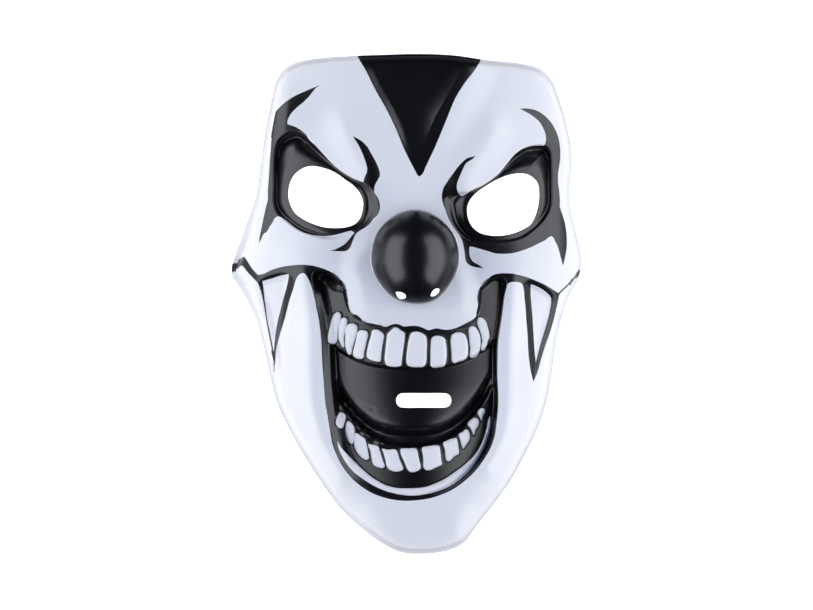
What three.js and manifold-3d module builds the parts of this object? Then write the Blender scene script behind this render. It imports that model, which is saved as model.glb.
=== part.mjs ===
// A full-face clown mask, vacuum-formed in one piece from a thin plastic sheet.
// It lies face up on its rim: X to the photograph's right, Y to the forehead, Z out of the face.

import * as THREE from 'three';
import { mergeVertices } from 'three/addons/utils/BufferGeometryUtils.js';
import Module from 'manifold-3d';

const wasm = await Module();
wasm.setup();

// Overall sizes, in millimetres.
const faceWidth = 175;
const faceHeight = 250;
const crownDepth = 56;
const wallThickness = 1.1;

// Rim: a flat lip all round, wider on the left side, with a shoulder that rolls into the face.
const lipWidth = 1.2;
const lipWidthLeft = 3.2;
const shoulderReach = 20;

// How far the raised forms stand out and the sunk forms lie back.
const noseReach = 27;
const muzzleRise = 2.5;
const browRise = 3.5;
const cheekboneRise = 4;
const cheekHollow = 2.6;
const foldRise = 2.4;
const socketDepth = 11;
const mouthDepth = 9.5;
const jawSag = 10;
const lowerGrooveDepth = 6;
const lipRise = 1.8;
const biteRidgeRise = 1.5;
const lowerGumRise = 2;
const chinBevel = 3;
const panelDepth = 1.1;
const panelBevel = 3.2;
const toothRise = 1.3;
const toothSink = 0.85;

// Holes.
const strapHoleDiameter = 3.2;
const strapHoleHeight = 8;

// How finely the surface is divided.
const rayCount = 88;
const curveSteps = 6;
const holeSteps = 2;
const sharpestSetBack = 1.7;
const leastWall = 0.8;

// Every table gives x in 175ths of the face width and y in 250ths of the face height.
const unitX = faceWidth / 175;
const unitY = faceHeight / 250;

// Rim outline, x and y, from the top of the forehead round by the left side.
const OUTLINE = [
  [6, 125.2], [-10, 124.8], [-26, 124.2], [-42, 123], [-54, 121], [-61, 117],
  [-65, 110], [-67.6, 99], [-69.8, 88], [-71.8, 75], [-73.3, 63], [-74.6, 54.5],
  [-77.6, 45.5], [-81.4, 35], [-85, 25], [-87, 18.5], [-86.6, 13.8], [-82.6, 7.6],
  [-78.2, 0], [-74.4, -8.5], [-71.6, -19], [-69, -30], [-66.6, -41], [-63.6, -51],
  [-57.6, -63.8], [-50, -77], [-41.5, -90], [-33.5, -101], [-24, -110.2], [-13, -118.8],
  [-3, -124], [8, -125], [20, -123.6], [28.5, -120], [35.5, -111], [44, -100.2],
  [52.5, -88.5], [60, -74.8], [66.8, -60.5], [71, -47], [73.2, -35], [75.2, -20],
  [78, -7.5], [81.6, 3], [86.2, 12.2], [88, 19.5], [87.4, 27.5], [85, 37],
  [83, 46], [82.2, 57], [83, 70], [82.8, 79], [80.4, 90.5], [77.2, 101.5],
  [73.2, 111.5], [67.5, 117.6], [57, 120.4], [42, 121.9], [24, 124.5],
];

// Ball nose outline and its middle, x and y.
const NOSE_MIDDLE = [4.9, 24.5];
const NOSE = [
  [4.5, 47.2], [-4.5, 44.8], [-11, 39.8], [-15.8, 32], [-17.2, 23], [-16, 16],
  [-11, 7.8], [-4, 2], [6, 0.1], [15, 2], [20.8, 7.8], [25.2, 15],
  [26.8, 23], [25.5, 31.5], [20.5, 39.5], [13, 45.2],
];

// Line round the nose that follows the lower edge of the muzzle and the inner ends of the eyes.
const MUZZLE = [
  [5, 60], [-5, 57.5], [-13, 50], [-18, 42], [-25, 35], [-31, 26],
  [-33, 17], [-30.5, 9], [-28.6, 0], [-26, -5], [-20, -9.2], [-9, -11],
  [5, -11], [16, -12.4], [26, -11.7], [33.5, -8], [36, -1], [36.6, 8],
  [34, 17], [31, 25], [28, 34], [23.5, 42], [19, 50], [13, 57],
];

// Line that follows the outer edge of the mouth, then passes outside the eyes and over the brows.
const FACE_LINE = [
  [7, 100], [-30, 97], [-56, 97], [-66, 86], [-69, 66], [-69, 50],
  [-66, 38], [-59, 27], [-51, 17], [-46.8, 8], [-44.5, -2], [-42.5, -14],
  [-41.5, -30], [-40.3, -46], [-38.3, -60], [-35, -74], [-28.5, -85], [-18, -94],
  [-6, -98], [5, -98.2], [18, -95.3], [29, -89], [38, -80], [43.5, -69.5],
  [46, -57], [46.5, -44], [46.1, -24], [47.8, -9], [49.2, 2], [51.5, 10],
  [59, 18], [71, 30], [77, 45], [76.8, 62], [76.5, 80], [68, 93], [42, 97],
];

// Mouth hollow: its outer edge from the left of the muzzle round to the right of it,
// then its inner edge along the muzzle back to the left.
const MOUTH_EDGE = [
  [-32, 12], [-39, 17], [-46.5, 16], [-45.6, 4], [-43.3, -8], [-42, -20], [-41.2, -35],
  [-40, -50], [-37.8, -63], [-34, -76.5], [-27, -87], [-17, -94.4], [-6, -97.9],
  [5, -98.2], [18, -95.3], [29, -89], [37, -81], [43, -71], [45.5, -60], [46.5, -48],
  [46, -34], [46.2, -20], [47.8, -9], [49.2, 2], [50.5, 12], [44, 14], [37.5, 9],
];
const MUZZLE_EDGE = [
  [36, -1], [34, -7.5], [26, -11.7], [16, -12.4], [5, -11],
  [-9, -11], [-20, -9.2], [-27, -4.8], [-29, 3],
];

// Eye sockets and the holes in them.
const LEFT_SOCKET = [
  [-68.5, 57], [-67.6, 74], [-65.5, 88], [-61, 92], [-50, 84.5], [-38, 71.5],
  [-25, 62.8], [-15.5, 56.5], [-13.2, 49], [-17, 40.5], [-27, 34.5], [-40, 32],
  [-52, 34.5], [-60, 40], [-66, 48],
];
const RIGHT_SOCKET = [
  [18.8, 53], [21, 44], [26, 35.5], [31, 28], [40, 25.3], [50, 24],
  [60, 26], [70, 32], [76, 42], [76.8, 56], [76.6, 72], [72, 83],
  [62, 79.5], [54, 74.5], [43, 63], [33, 57], [24, 56],
];
const LEFT_EYE = [
  [-58.6, 55], [-55.2, 45.5], [-48, 40.8], [-36, 38], [-25, 40.3], [-21.2, 49],
  [-24.3, 57.5], [-33, 64.3], [-45.5, 68.9], [-55, 65.2],
];
const RIGHT_EYE = [
  [30.8, 46], [34.2, 54.4], [43, 60.7], [57, 65.2], [65.2, 61.8], [66.8, 54],
  [64, 42], [57, 36.4], [46, 34.1], [35.5, 36.7],
];

// Nostrils, and the speech slot, whose ends are round.
const LEFT_NOSTRIL = [[-4.8, 5.6], [-2.3, 5.9], [0.1, 4.4], [-1.2, 2.6], [-3.8, 3.4]];
const RIGHT_NOSTRIL = [[13.7, 6.5], [15.4, 7.6], [16.9, 6.9], [15.2, 4.4], [12.7, 4.2]];
const SLOT = [
  [-4.7, -48.2], [-3.7, -45.7], [-1.2, -44.6], [9, -44.6], [19.4, -44.6], [21.9, -45.7],
  [22.9, -48.2], [21.9, -50.7], [19.4, -51.8], [9, -51.8], [-1.2, -51.8], [-3.7, -50.7],
];

// White lip inside the lower edge of the mouth.
const LIP = [
  [-34.2, -68.5], [-25, -79.3], [-15, -87.8], [-5, -91.9], [5, -92.1], [15, -89.7],
  [25, -83.8], [35, -75], [40.5, -63], [42.5, -56], [40, -70], [33, -82],
  [22, -91.2], [10, -95.1], [-4, -95], [-16, -90.8], [-27, -82.8], [-33.5, -72],
];

// Sunk three-cornered panel of the forehead; its top runs off over the rim.
const PANEL = [
  [-20, 129], [-12.5, 106], [-2, 85.5], [5, 70.5], [7, 67.6], [9, 70.5],
  [15, 84.5], [21.5, 100.5], [27.5, 112], [36.5, 129],
];

// Hollow cheeks under the cheekbones.
const LEFT_HOLLOW = [
  [-74, 11], [-58, 15], [-56.5, 2], [-58.5, -18], [-62, -34], [-66.5, -22], [-71, -4],
];
const RIGHT_HOLLOW = [[60, 12], [75, 4], [72, -14], [64.5, -38], [60, -12]];

// Upper teeth, from the left, each a closed outline.
const UPPER_TEETH = [
  [[-34.3, -4], [-32.2, -5.5], [-33.2, -12], [-34.3, -18.8], [-37, -20], [-38.7, -17.5], [-37, -8]],
  [[-32.6, -7.8], [-30.8, -6.7], [-29.1, -9], [-30.4, -14], [-30.8, -21], [-33.5, -17]],
  [[-28.8, -10.4], [-26, -9.7], [-24, -12.5], [-26, -20], [-27.2, -25.2], [-29.4, -23.5], [-30, -16]],
  [[-23.7, -13.8], [-21.5, -13], [-18.7, -15], [-20.1, -22], [-21.2, -27.1], [-26.1, -25.6], [-25, -19]],
  [[-16.6, -13.6], [-14.5, -12.7], [-10.9, -15.3], [-11.8, -22], [-12.7, -28.8], [-19.3, -26.5], [-18.3, -19]],
  [[-9, -14.6], [-5.6, -11.7], [-0.5, -14.8], [-1, -22], [-2.4, -31], [-9.5, -30.6], [-10, -22]],
  [[2.6, -14.9], [5.4, -13.8], [10.3, -16.2], [10.6, -24], [9.4, -31.3], [1, -30.8], [0.9, -22]],
  [[13.2, -17], [15.6, -15.9], [19.5, -17.2], [20.6, -24], [19.3, -31], [13, -31.7], [12.5, -24]],
  [[23.2, -15.6], [26.2, -14.2], [29.8, -15.5], [31.3, -23], [29, -28.2], [24, -29.5], [22.6, -20]],
  [[31.7, -12], [33.6, -11], [36.4, -13.6], [37.5, -20], [35.6, -26.2], [32.4, -26.9], [32.2, -18]],
  [[35.8, -8.5], [37, -6.5], [40, -8.2], [42, -15.5], [40.4, -22], [38.2, -23.4], [38.3, -15]],
];

// Lower teeth, from the left, each a closed outline.
const LOWER_TEETH = [
  [[-32.5, -54], [-30.2, -55.4], [-30.7, -60], [-32.2, -62], [-34.7, -59.6]],
  [[-28.8, -58.5], [-26.2, -60.8], [-25.6, -66], [-27, -70.1], [-29.6, -66.2], [-30.1, -61.5]],
  [[-25, -64.5], [-20.5, -67.3], [-18.8, -74], [-18.6, -77.8], [-22, -76.7], [-25.6, -71]],
  [[-18.6, -70.1], [-14, -71], [-11.8, -77], [-10.5, -81.7], [-15.6, -80.6], [-17.5, -75]],
  [[-11.5, -72.4], [-5.2, -72.6], [-3, -77.8], [-1.4, -82.8], [-6.5, -83.4], [-10, -78]],
  [[-2.4, -72.5], [5.2, -72.2], [6.7, -77.5], [7.4, -82.4], [2.6, -84], [-0.8, -78.5]],
  [[8.4, -71.9], [16.8, -70.7], [17.8, -76], [18.1, -80.4], [10.6, -83.1], [8.8, -77]],
  [[18.9, -69.2], [25.2, -67], [26.4, -71], [26.8, -74.8], [21.5, -78.7], [19.8, -74]],
  [[26.8, -65], [30.3, -62.6], [32.2, -66], [31.6, -69], [29, -72.4], [27.5, -68.5]],
  [[31, -60], [34.4, -56.8], [36.8, -59.4], [35.8, -62.6], [34.2, -65.6], [32.3, -62]],
  [[36, -54.4], [38, -52], [39.7, -54], [38.9, -56.2], [38, -58.5], [36.8, -56.2]],
];

// Crest lines of the soft folds: brows, then the folds beside the mouth.
const LEFT_BROW = [[-60, 98], [-50, 90], [-40, 80.5], [-30, 71.5], [-20, 66]];
const RIGHT_BROW = [[66, 88], [56, 82], [47, 74.5], [39, 66.5], [30, 60]];
const LEFT_FOLD = [[-51, 12], [-49.5, -8], [-48, -30], [-46, -52], [-42, -70], [-33, -86]];
const RIGHT_FOLD = [[54, 9], [53.5, -8], [52, -30], [51, -52], [48, -68], [41, -82]];

// Where the strap holes stand along the sides.
const STRAP_LEVEL = 52.5;

// Smooth closed line through the points of a table.
function closedLine(points, steps) {
  const path = points.map(([x, y]) => new THREE.Vector3(x, y, 0));
  const curve = new THREE.CatmullRomCurve3(path, true, 'centripetal');
  const line = curve.getPoints(points.length * steps).slice(0, -1);
  return line.map((point) => [point.x, point.y]);
}

// Distance from a point to a line of points, closed or open.
function distanceTo(line, x, y, closed) {
  let nearest = Infinity;
  const last = closed ? line.length : line.length - 1;
  for (let i = 0; i < last; i += 1) {
    const [ax, ay] = line[i];
    const [bx, by] = line[(i + 1) % line.length];
    const dx = bx - ax;
    const dy = by - ay;
    const along = ((x - ax) * dx + (y - ay) * dy) / (dx * dx + dy * dy);
    const share = Math.min(1, Math.max(0, along));
    nearest = Math.min(nearest, Math.hypot(x - ax - share * dx, y - ay - share * dy));
  }
  return nearest;
}

// Depth of a point inside a closed line, negative outside it.
function insideBy(line, x, y) {
  let inside = false;
  for (let i = 0; i < line.length; i += 1) {
    const [ax, ay] = line[i];
    const [bx, by] = line[(i + 1) % line.length];
    const crosses = (ay > y) !== (by > y);
    if (crosses && x < ax + ((y - ay) / (by - ay)) * (bx - ax)) {
      inside = !inside;
    }
  }
  return distanceTo(line, x, y, true) * (inside ? 1 : -1);
}

// Distances from the middle of the nose at which a ray crosses a closed line.
function crossings(line, angle) {
  const dirX = Math.cos(angle);
  const dirY = Math.sin(angle);
  const hits = [];
  for (let i = 0; i < line.length; i += 1) {
    const ax = line[i][0] - NOSE_MIDDLE[0];
    const ay = line[i][1] - NOSE_MIDDLE[1];
    const bx = line[(i + 1) % line.length][0] - NOSE_MIDDLE[0];
    const by = line[(i + 1) % line.length][1] - NOSE_MIDDLE[1];
    const sideA = ax * dirY - ay * dirX;
    const sideB = bx * dirY - by * dirX;
    if ((sideA > 0) !== (sideB > 0)) {
      const share = sideA / (sideA - sideB);
      const hit = (ax + share * (bx - ax)) * dirX + (ay + share * (by - ay)) * dirY;
      if (hit > 0) {
        hits.push(hit);
      }
    }
  }
  return hits;
}

// Furthest of them.
function reachTo(line, angle) {
  return Math.max(0, ...crossings(line, angle));
}

// Smooth step from 0 to 1, and a bell that is 1 in the middle.
function rise(from, to, value) {
  const share = Math.min(1, Math.max(0, (value - from) / (to - from)));
  return share * share * (3 - 2 * share);
}
function bell(distance, reach) {
  return Math.exp(-((distance / reach) ** 2));
}
function mix(a, b, share) {
  return a + (b - a) * share;
}

const outline = closedLine(OUTLINE, curveSteps);
const noseLine = closedLine(NOSE, curveSteps);
const muzzleLine = closedLine(MUZZLE, curveSteps);
const faceLine = closedLine(FACE_LINE, curveSteps);
const mouthLine = closedLine([...MOUTH_EDGE, ...MUZZLE_EDGE], curveSteps);
const mouthEdge = mouthLine.slice(0, MOUTH_EDGE.length * curveSteps);
const lipLine = closedLine(LIP, curveSteps);
const leftEye = closedLine(LEFT_EYE, curveSteps);
const rightEye = closedLine(RIGHT_EYE, curveSteps);
const leftSocket = closedLine(LEFT_SOCKET, curveSteps);
const rightSocket = closedLine(RIGHT_SOCKET, curveSteps);
const leftHollow = closedLine(LEFT_HOLLOW, curveSteps);
const rightHollow = closedLine(RIGHT_HOLLOW, curveSteps);
const panelLine = closedLine(PANEL, curveSteps);

// Width of the flat lip at the rim, in 175ths of the face width.
function lipAt(x) {
  return mix(lipWidth, lipWidthLeft, rise(-20, -70, x)) / unitX;
}

// Height of the bare dome of the face.
function domeAt(x, y) {
  const along = 0.3 * (Math.abs(y - 5) / 125) ** 2.2;
  const across = 0.34 * (Math.abs(x - 4) / 80) ** 2.3;
  return crownDepth * (1 - along - across);
}

// Steepness of the side walls: 0 at the rim, 1 where the shoulder ends.
function shoulderAt(x, y) {
  const inset = Math.max(0, insideBy(outline, x, y) - lipAt(x));
  const left = 1 - Math.min(1, (inset * unitX) / shoulderReach);
  return (1 - left ** 2.2) ** 0.36;
}

// An eye socket: a steep wall down to a groove, then the lid up to the hole.
function socketAt(socket, eye, x, y) {
  const fromEdge = insideBy(socket, x, y);
  if (fromEdge <= 0) {
    return 0;
  }
  const fromEye = Math.max(0, -insideBy(eye, x, y));
  const share = fromEye / (fromEye + fromEdge);
  const lid = 0.72 + 0.28 * rise(0, 0.55, share);
  const wall = 1 - rise(0.55, 1, share);
  return -socketDepth * Math.min(lid, wall);
}

// Middles of the upper and lower rows of teeth, which both curve back at the sides.
function upperRow(x) {
  return -22.3 + 10 * Math.abs((x - 3) / 37) ** 3;
}
function lowerRow(x) {
  return -77.5 + 22 * Math.abs((x - 3) / 36) ** 2.6;
}

// Height of the floor of the mouth: gum, open bite, slot plate, groove and lower jaw.
function mouthFloor(x, y) {
  const upper = y - upperRow(x);
  const lower = y - lowerRow(x);
  let floor = crownDepth - mouthDepth - jawSag * ((x - 4) / 42) ** 2;
  floor += 0.7 * mouthDepth * rise(-11, -8.5, upper);
  floor += biteRidgeRise * bell(lower - 19, 4);
  floor -= lowerGrooveDepth * bell(lower - 11, 3.5);
  floor += lowerGumRise * (1 - rise(5.5, 8, lower));
  floor += lipRise * rise(-0.6, 1.2, insideBy(lipLine, x, y));
  return floor;
}

// Height of the outer surface over the rim plane.
function surfaceAt(x, y) {
  const shoulder = shoulderAt(x, y);
  let relief = 0;
  relief += browRise * bell(distanceTo(LEFT_BROW, x, y, false), 8);
  relief += browRise * bell(distanceTo(RIGHT_BROW, x, y, false), 8);
  relief += cheekboneRise * bell(Math.hypot((x + 54) / 20, (y - 25) / 11), 1);
  relief += cheekboneRise * bell(Math.hypot((x - 58) / 20, (y - 20) / 11), 1);
  relief -= cheekHollow * rise(-1, 5, insideBy(leftHollow, x, y));
  relief -= cheekHollow * rise(-1, 5, insideBy(rightHollow, x, y));
  relief -= panelDepth * rise(0, panelBevel, insideBy(panelLine, x, y) * unitX);
  relief += foldRise * bell(distanceTo(LEFT_FOLD, x, y, false), 5);
  relief += foldRise * bell(distanceTo(RIGHT_FOLD, x, y, false), 5);
  relief += muzzleRise * rise(-2, 10, insideBy(muzzleLine, x, y)) * (1 - rise(25, 45, y));
  relief -= chinBevel * rise(15, 40, Math.abs(x - 6)) * rise(-92, -104, y);
  let z = domeAt(x, y) + relief;
  if (insideBy(mouthLine, x, y) > 0) {
    const slope = mix(7, 4.5, rise(-20, 20, x));
    const fromEdge = rise(0, slope, distanceTo(mouthEdge, x, y, false));
    const fromMuzzle = rise(0, 1.6, -insideBy(muzzleLine, x, y));
    z = mix(z, mouthFloor(x, y), fromEdge * fromMuzzle);
  }
  z += socketAt(leftSocket, leftEye, x, y);
  z += socketAt(rightSocket, rightEye, x, y);
  const inNose = insideBy(noseLine, x, y);
  if (inNose > 0) {
    const left = 1 - Math.min(1, inNose / 22);
    z += noseReach * Math.sqrt(1 - left * left);
  }
  return wallThickness + Math.max(0, z) * shoulder;
}

// Rings of the surface grid, from the nose outwards, as shares between two closed lines.
const middle = [NOSE_MIDDLE];
const lipFoot = outline.map(([x, y]) => {
  const away = Math.hypot(x - NOSE_MIDDLE[0], y - NOSE_MIDDLE[1]);
  const share = 1 - lipAt(x) / away;
  return [mix(NOSE_MIDDLE[0], x, share), mix(NOSE_MIDDLE[1], y, share)];
});
const RINGS = [
  [middle, noseLine, [0.4, 0.7, 0.88, 0.97, 1]],
  [noseLine, muzzleLine, [0.35, 0.7, 1]],
  [muzzleLine, faceLine, [0.03, 0.13, 0.235, 0.29, 0.42, 0.56, 0.65, 0.7, 0.84, 0.92, 1]],
  [faceLine, lipFoot, [0.3, 0.6, 0.82, 0.94, 0.985, 1]],
];

// Turns a table of triangles into a solid.
function solidFrom(positions, triangles) {
  const geometry = new THREE.BufferGeometry();
  geometry.setAttribute('position', new THREE.Float32BufferAttribute(positions, 3));
  geometry.setIndex(triangles);
  const merged = mergeVertices(geometry, 1e-5);
  return new wasm.Manifold(new wasm.Mesh({
    numProp: 3,
    vertProperties: new Float32Array(merged.attributes.position.array),
    triVerts: new Uint32Array(merged.index.array),
  }));
}

// Rays run from the nose to the rim outline. They lie closest together at the ears.
const rimPath = OUTLINE.map(([x, y]) => new THREE.Vector3(x, y, 0));
const rimCurve = new THREE.CatmullRomCurve3(rimPath, true, 'centripetal');
const rays = rimCurve.getPoints(rayCount).slice(0, -1);

// A line between two closed lines, at a share of the way from the first to the second.
function lineBetween(inner, outer, share) {
  return outer.map(([x, y]) => {
    let nearest = inner[0];
    for (const point of inner) {
      if (Math.hypot(point[0] - x, point[1] - y) < Math.hypot(nearest[0] - x, nearest[1] - y)) {
        nearest = point;
      }
    }
    return [mix(nearest[0], x, share), mix(nearest[1], y, share)];
  });
}

// Edges and valleys that the grid follows: the nearest ring on each ray moves onto them.
const panelMiddle = [7.5, 104];
const panelFloor = panelLine.map(([x, y]) => {
  const away = Math.hypot(x - panelMiddle[0], y - panelMiddle[1]);
  const share = 1 - Math.min(0.9, (1.35 * panelBevel) / unitX / away);
  return [mix(panelMiddle[0], x, share), mix(panelMiddle[1], y, share)];
});
const FOLLOWED = [
  leftSocket,
  rightSocket,
  lineBetween(leftEye, leftSocket, 0.55),
  lineBetween(rightEye, rightSocket, 0.55),
  panelLine,
  panelFloor,
];

// Reach of every ring on one ray, with the number of the line that each ring follows.
function rayReaches(angle) {
  const reaches = [];
  for (const [inner, outer, shares] of RINGS) {
    const near = inner === middle ? 0 : reachTo(inner, angle);
    const far = reachTo(outer, angle);
    for (const share of shares) {
      const fixed = share === 1 || inner === middle;
      reaches.push({ reach: mix(near, far, share), fixed, line: -1 });
    }
  }
  FOLLOWED.forEach((line, number) => {
    for (const hit of crossings(line, angle)) {
      let best = reaches[0];
      for (const ring of reaches) {
        if (Math.abs(ring.reach - hit) < Math.abs(best.reach - hit)) {
          best = ring;
        }
      }
      if (!best.fixed && best.line < 0) {
        best.reach = hit;
        best.line = number;
      }
    }
  });
  return reaches;
}

// Outer surface points, ring by ring, in millimetres.
const rayAngles = rays.map((rim) => Math.atan2(rim.y - NOSE_MIDDLE[1], rim.x - NOSE_MIDDLE[0]));
const reachTable = rayAngles.map(rayReaches);
const outerRings = reachTable[0].map((unused, ring) => reachTable.map((reaches, ray) => {
  const x = NOSE_MIDDLE[0] + reaches[ring].reach * Math.cos(rayAngles[ray]);
  const y = NOSE_MIDDLE[1] + reaches[ring].reach * Math.sin(rayAngles[ray]);
  const z = ring === reachTable[0].length - 1 ? wallThickness : surfaceAt(x, y);
  return new THREE.Vector3(x * unitX, y * unitY, z);
}));
const [noseX, noseY] = NOSE_MIDDLE;
const pole = new THREE.Vector3(noseX * unitX, noseY * unitY, surfaceAt(noseX, noseY));

// Triangles of a surface that opens from one point into rings of equal count.
// Each four-sided cell is split along the edge that it follows, or else by its shorter diagonal.
function frontFaces(ringTotal, count) {
  const faces = [];
  for (let i = 0; i < count; i += 1) {
    const next = (i + 1) % count;
    faces.push(0, 1 + i, 1 + next);
    for (let ring = 1; ring < ringTotal; ring += 1) {
      const low = 1 + (ring - 1) * count;
      const high = low + count;
      if (splitsUp(ring, i, next)) {
        faces.push(low + i, high + i, high + next);
        faces.push(low + i, high + next, low + next);
      } else {
        faces.push(low + i, high + i, low + next);
        faces.push(high + i, high + next, low + next);
      }
    }
  }
  return faces;
}

function splitsUp(ring, i, next) {
  if (ring >= outerRings.length) {
    return true;
  }
  const upLine = reachTable[i][ring - 1].line;
  const downLine = reachTable[next][ring - 1].line;
  if (upLine >= 0 && upLine === reachTable[next][ring].line) {
    return true;
  }
  if (downLine >= 0 && downLine === reachTable[i][ring].line) {
    return false;
  }
  const up = outerRings[ring - 1][i].distanceTo(outerRings[ring][next]);
  const down = outerRings[ring - 1][next].distanceTo(outerRings[ring][i]);
  return up <= down;
}

// Way from each outer point to its inner point. It is longer where the faces round the point
// turn sharply, so that the wall keeps its thickness beside an edge.
function setBacks(points, faces) {
  const around = points.map(() => []);
  const faceNormal = new THREE.Triangle();
  for (let i = 0; i < faces.length; i += 3) {
    faceNormal.set(points[faces[i]], points[faces[i + 1]], points[faces[i + 2]]);
    const normal = faceNormal.getNormal(new THREE.Vector3());
    for (const corner of [faces[i], faces[i + 1], faces[i + 2]]) {
      around[corner].push(normal);
    }
  }
  return around.map((normals) => {
    const mean = normals.reduce((sum, normal) => sum.add(normal), new THREE.Vector3());
    mean.normalize();
    const least = Math.min(...normals.map((normal) => normal.dot(mean)));
    return mean.multiplyScalar(-wallThickness * Math.min(sharpestSetBack, 1 / Math.max(0.1, least)));
  });
}

const outerPoints = [pole, ...outerRings.flat()];
const frontTriangles = frontFaces(outerRings.length, rayCount);

// Height of the faceted outer surface over a point, which the teeth stand on.
function facetHeight(x, y) {
  for (let i = 0; i < frontTriangles.length; i += 3) {
    const a = outerPoints[frontTriangles[i]];
    const b = outerPoints[frontTriangles[i + 1]];
    const c = outerPoints[frontTriangles[i + 2]];
    const whole = (b.x - a.x) * (c.y - a.y) - (c.x - a.x) * (b.y - a.y);
    const u = ((b.x - x) * (c.y - y) - (c.x - x) * (b.y - y)) / whole;
    const v = ((c.x - x) * (a.y - y) - (a.x - x) * (c.y - y)) / whole;
    if (u >= -1e-6 && v >= -1e-6 && u + v <= 1 + 1e-6) {
      return u * a.z + v * b.z + (1 - u - v) * c.z;
    }
  }
  return wallThickness;
}

// Inner surface points. None lies nearer the outer facets over it than most of the wall.
const backs = setBacks(outerPoints, frontTriangles);
const innerPoints = outerPoints.map((point, i) => {
  const inner = point.clone().add(backs[i]);
  const highest = facetHeight(inner.x, inner.y) - leastWall * wallThickness;
  inner.z = Math.max(wallThickness, Math.min(inner.z, highest));
  return inner;
});

// Closed shell: outer surface, lip, underside and inner surface.
function shellSolid() {
  const count = rayCount;
  const ringTotal = outerRings.length;
  const rimTop = rays.map((rim) => new THREE.Vector3(rim.x * unitX, rim.y * unitY, wallThickness));
  const rimFoot = rays.map((rim) => new THREE.Vector3(rim.x * unitX, rim.y * unitY, 0));
  const lastInner = innerPoints.slice(1 + (ringTotal - 2) * count, 1 + (ringTotal - 1) * count);
  const innerFoot = lastInner.map((point) => new THREE.Vector3(point.x, point.y, 0));
  const points = [...outerPoints, ...rimTop, ...rimFoot, ...innerFoot];
  const faces = frontFaces(ringTotal + 1, count);
  const innerTotal = ringTotal - 1;
  const rimTopAt = outerPoints.length;
  const rimFootAt = rimTopAt + count;
  const innerFootAt = rimFootAt + count;
  const innerAt = innerFootAt + count;
  points.push(...innerPoints.slice(0, 1 + innerTotal * count));
  for (let i = 0; i < count; i += 1) {
    const next = (i + 1) % count;
    const bands = [[rimTopAt, rimFootAt], [rimFootAt, innerFootAt]];
    bands.push([innerFootAt, innerAt + 1 + (innerTotal - 1) * count]);
    for (const [from, to] of bands) {
      faces.push(from + i, to + i, to + next);
      faces.push(from + i, to + next, from + next);
    }
  }
  const inner = frontFaces(innerTotal, count);
  for (let i = 0; i < inner.length; i += 3) {
    faces.push(innerAt + inner[i], innerAt + inner[i + 2], innerAt + inner[i + 1]);
  }
  return solidFrom(points.flatMap((point) => point.toArray()), faces);
}

// Upright prism on a closed line, from below the rim to well above the nose.
function prism(line, bottom, top) {
  const count = line.length;
  const contour = line.map(([x, y]) => new THREE.Vector2(x * unitX, y * unitY));
  if (THREE.ShapeUtils.area(contour) < 0) {
    contour.reverse();
  }
  const positions = [];
  for (const z of [bottom, top]) {
    for (const point of contour) {
      positions.push(point.x, point.y, z);
    }
  }
  const faces = [];
  for (const [a, b, c] of THREE.ShapeUtils.triangulateShape(contour, [])) {
    faces.push(a + count, b + count, c + count);
    faces.push(a, c, b);
  }
  for (let i = 0; i < count; i += 1) {
    const next = (i + 1) % count;
    faces.push(i, next, next + count);
    faces.push(i, next + count, i + count);
  }
  return solidFrom(positions, faces);
}

// One tooth: a low pad with a bevelled edge, sunk halfway into the wall behind it.
function toothSolid(points) {
  const count = points.length;
  let middleX = 0;
  let middleY = 0;
  for (const [x, y] of points) {
    middleX += (x * unitX) / count;
    middleY += (y * unitY) / count;
  }
  const layers = [[1, -toothSink], [1, 0.55 * toothRise], [0.82, toothRise]];
  const positions = [];
  for (const [spread, lift] of layers) {
    for (const [px, py] of points) {
      const x = mix(middleX, px * unitX, spread);
      const y = mix(middleY, py * unitY, spread);
      positions.push(x, y, facetHeight(x, y) + lift);
    }
  }
  const bottomAt = positions.length / 3;
  positions.push(middleX, middleY, facetHeight(middleX, middleY) - toothSink);
  positions.push(middleX, middleY, facetHeight(middleX, middleY) + toothRise);
  const faces = [];
  for (let i = 0; i < count; i += 1) {
    const next = (i + 1) % count;
    faces.push(bottomAt, i, next);
    faces.push(bottomAt + 1, 2 * count + next, 2 * count + i);
    for (const low of [0, count]) {
      faces.push(low + i, low + count + next, low + next);
      faces.push(low + i, low + count + i, low + count + next);
    }
  }
  return solidFrom(positions, faces);
}

// Round hole through a side wall, close above the rim.
function strapCut(fromX, toX) {
  const sides = 10;
  const ring = [];
  for (let i = 0; i < sides; i += 1) {
    const angle = (2 * Math.PI * i) / sides;
    const y = STRAP_LEVEL * unitY + (strapHoleDiameter / 2) * Math.cos(angle);
    ring.push([y, strapHoleHeight + (strapHoleDiameter / 2) * Math.sin(angle)]);
  }
  const positions = [];
  for (const x of [fromX, toX]) {
    for (const [y, z] of ring) {
      positions.push(x, y, z);
    }
  }
  const faces = [];
  for (let i = 1; i < sides - 1; i += 1) {
    faces.push(0, i + 1, i, sides, sides + i, sides + i + 1);
  }
  for (let i = 0; i < sides; i += 1) {
    const next = (i + 1) % sides;
    faces.push(i, next, sides + next, i, sides + next, sides + i);
  }
  return solidFrom(positions, faces);
}

let mask = shellSolid();
for (const tooth of [...UPPER_TEETH, ...LOWER_TEETH]) {
  mask = mask.add(toothSolid(tooth));
}
const cutTop = 2 * (crownDepth + noseReach);
const cutLines = [closedLine(LEFT_EYE, holeSteps), closedLine(RIGHT_EYE, holeSteps)];
cutLines.push(LEFT_NOSTRIL, RIGHT_NOSTRIL, SLOT);
for (const line of cutLines) {
  mask = mask.subtract(prism(line, -wallThickness, cutTop));
}
const sideX = 0.5 * faceWidth;
mask = mask.subtract(strapCut(-1.05 * sideX, -0.72 * sideX));
mask = mask.subtract(strapCut(0.8 * sideX, 1.05 * sideX));

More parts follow.
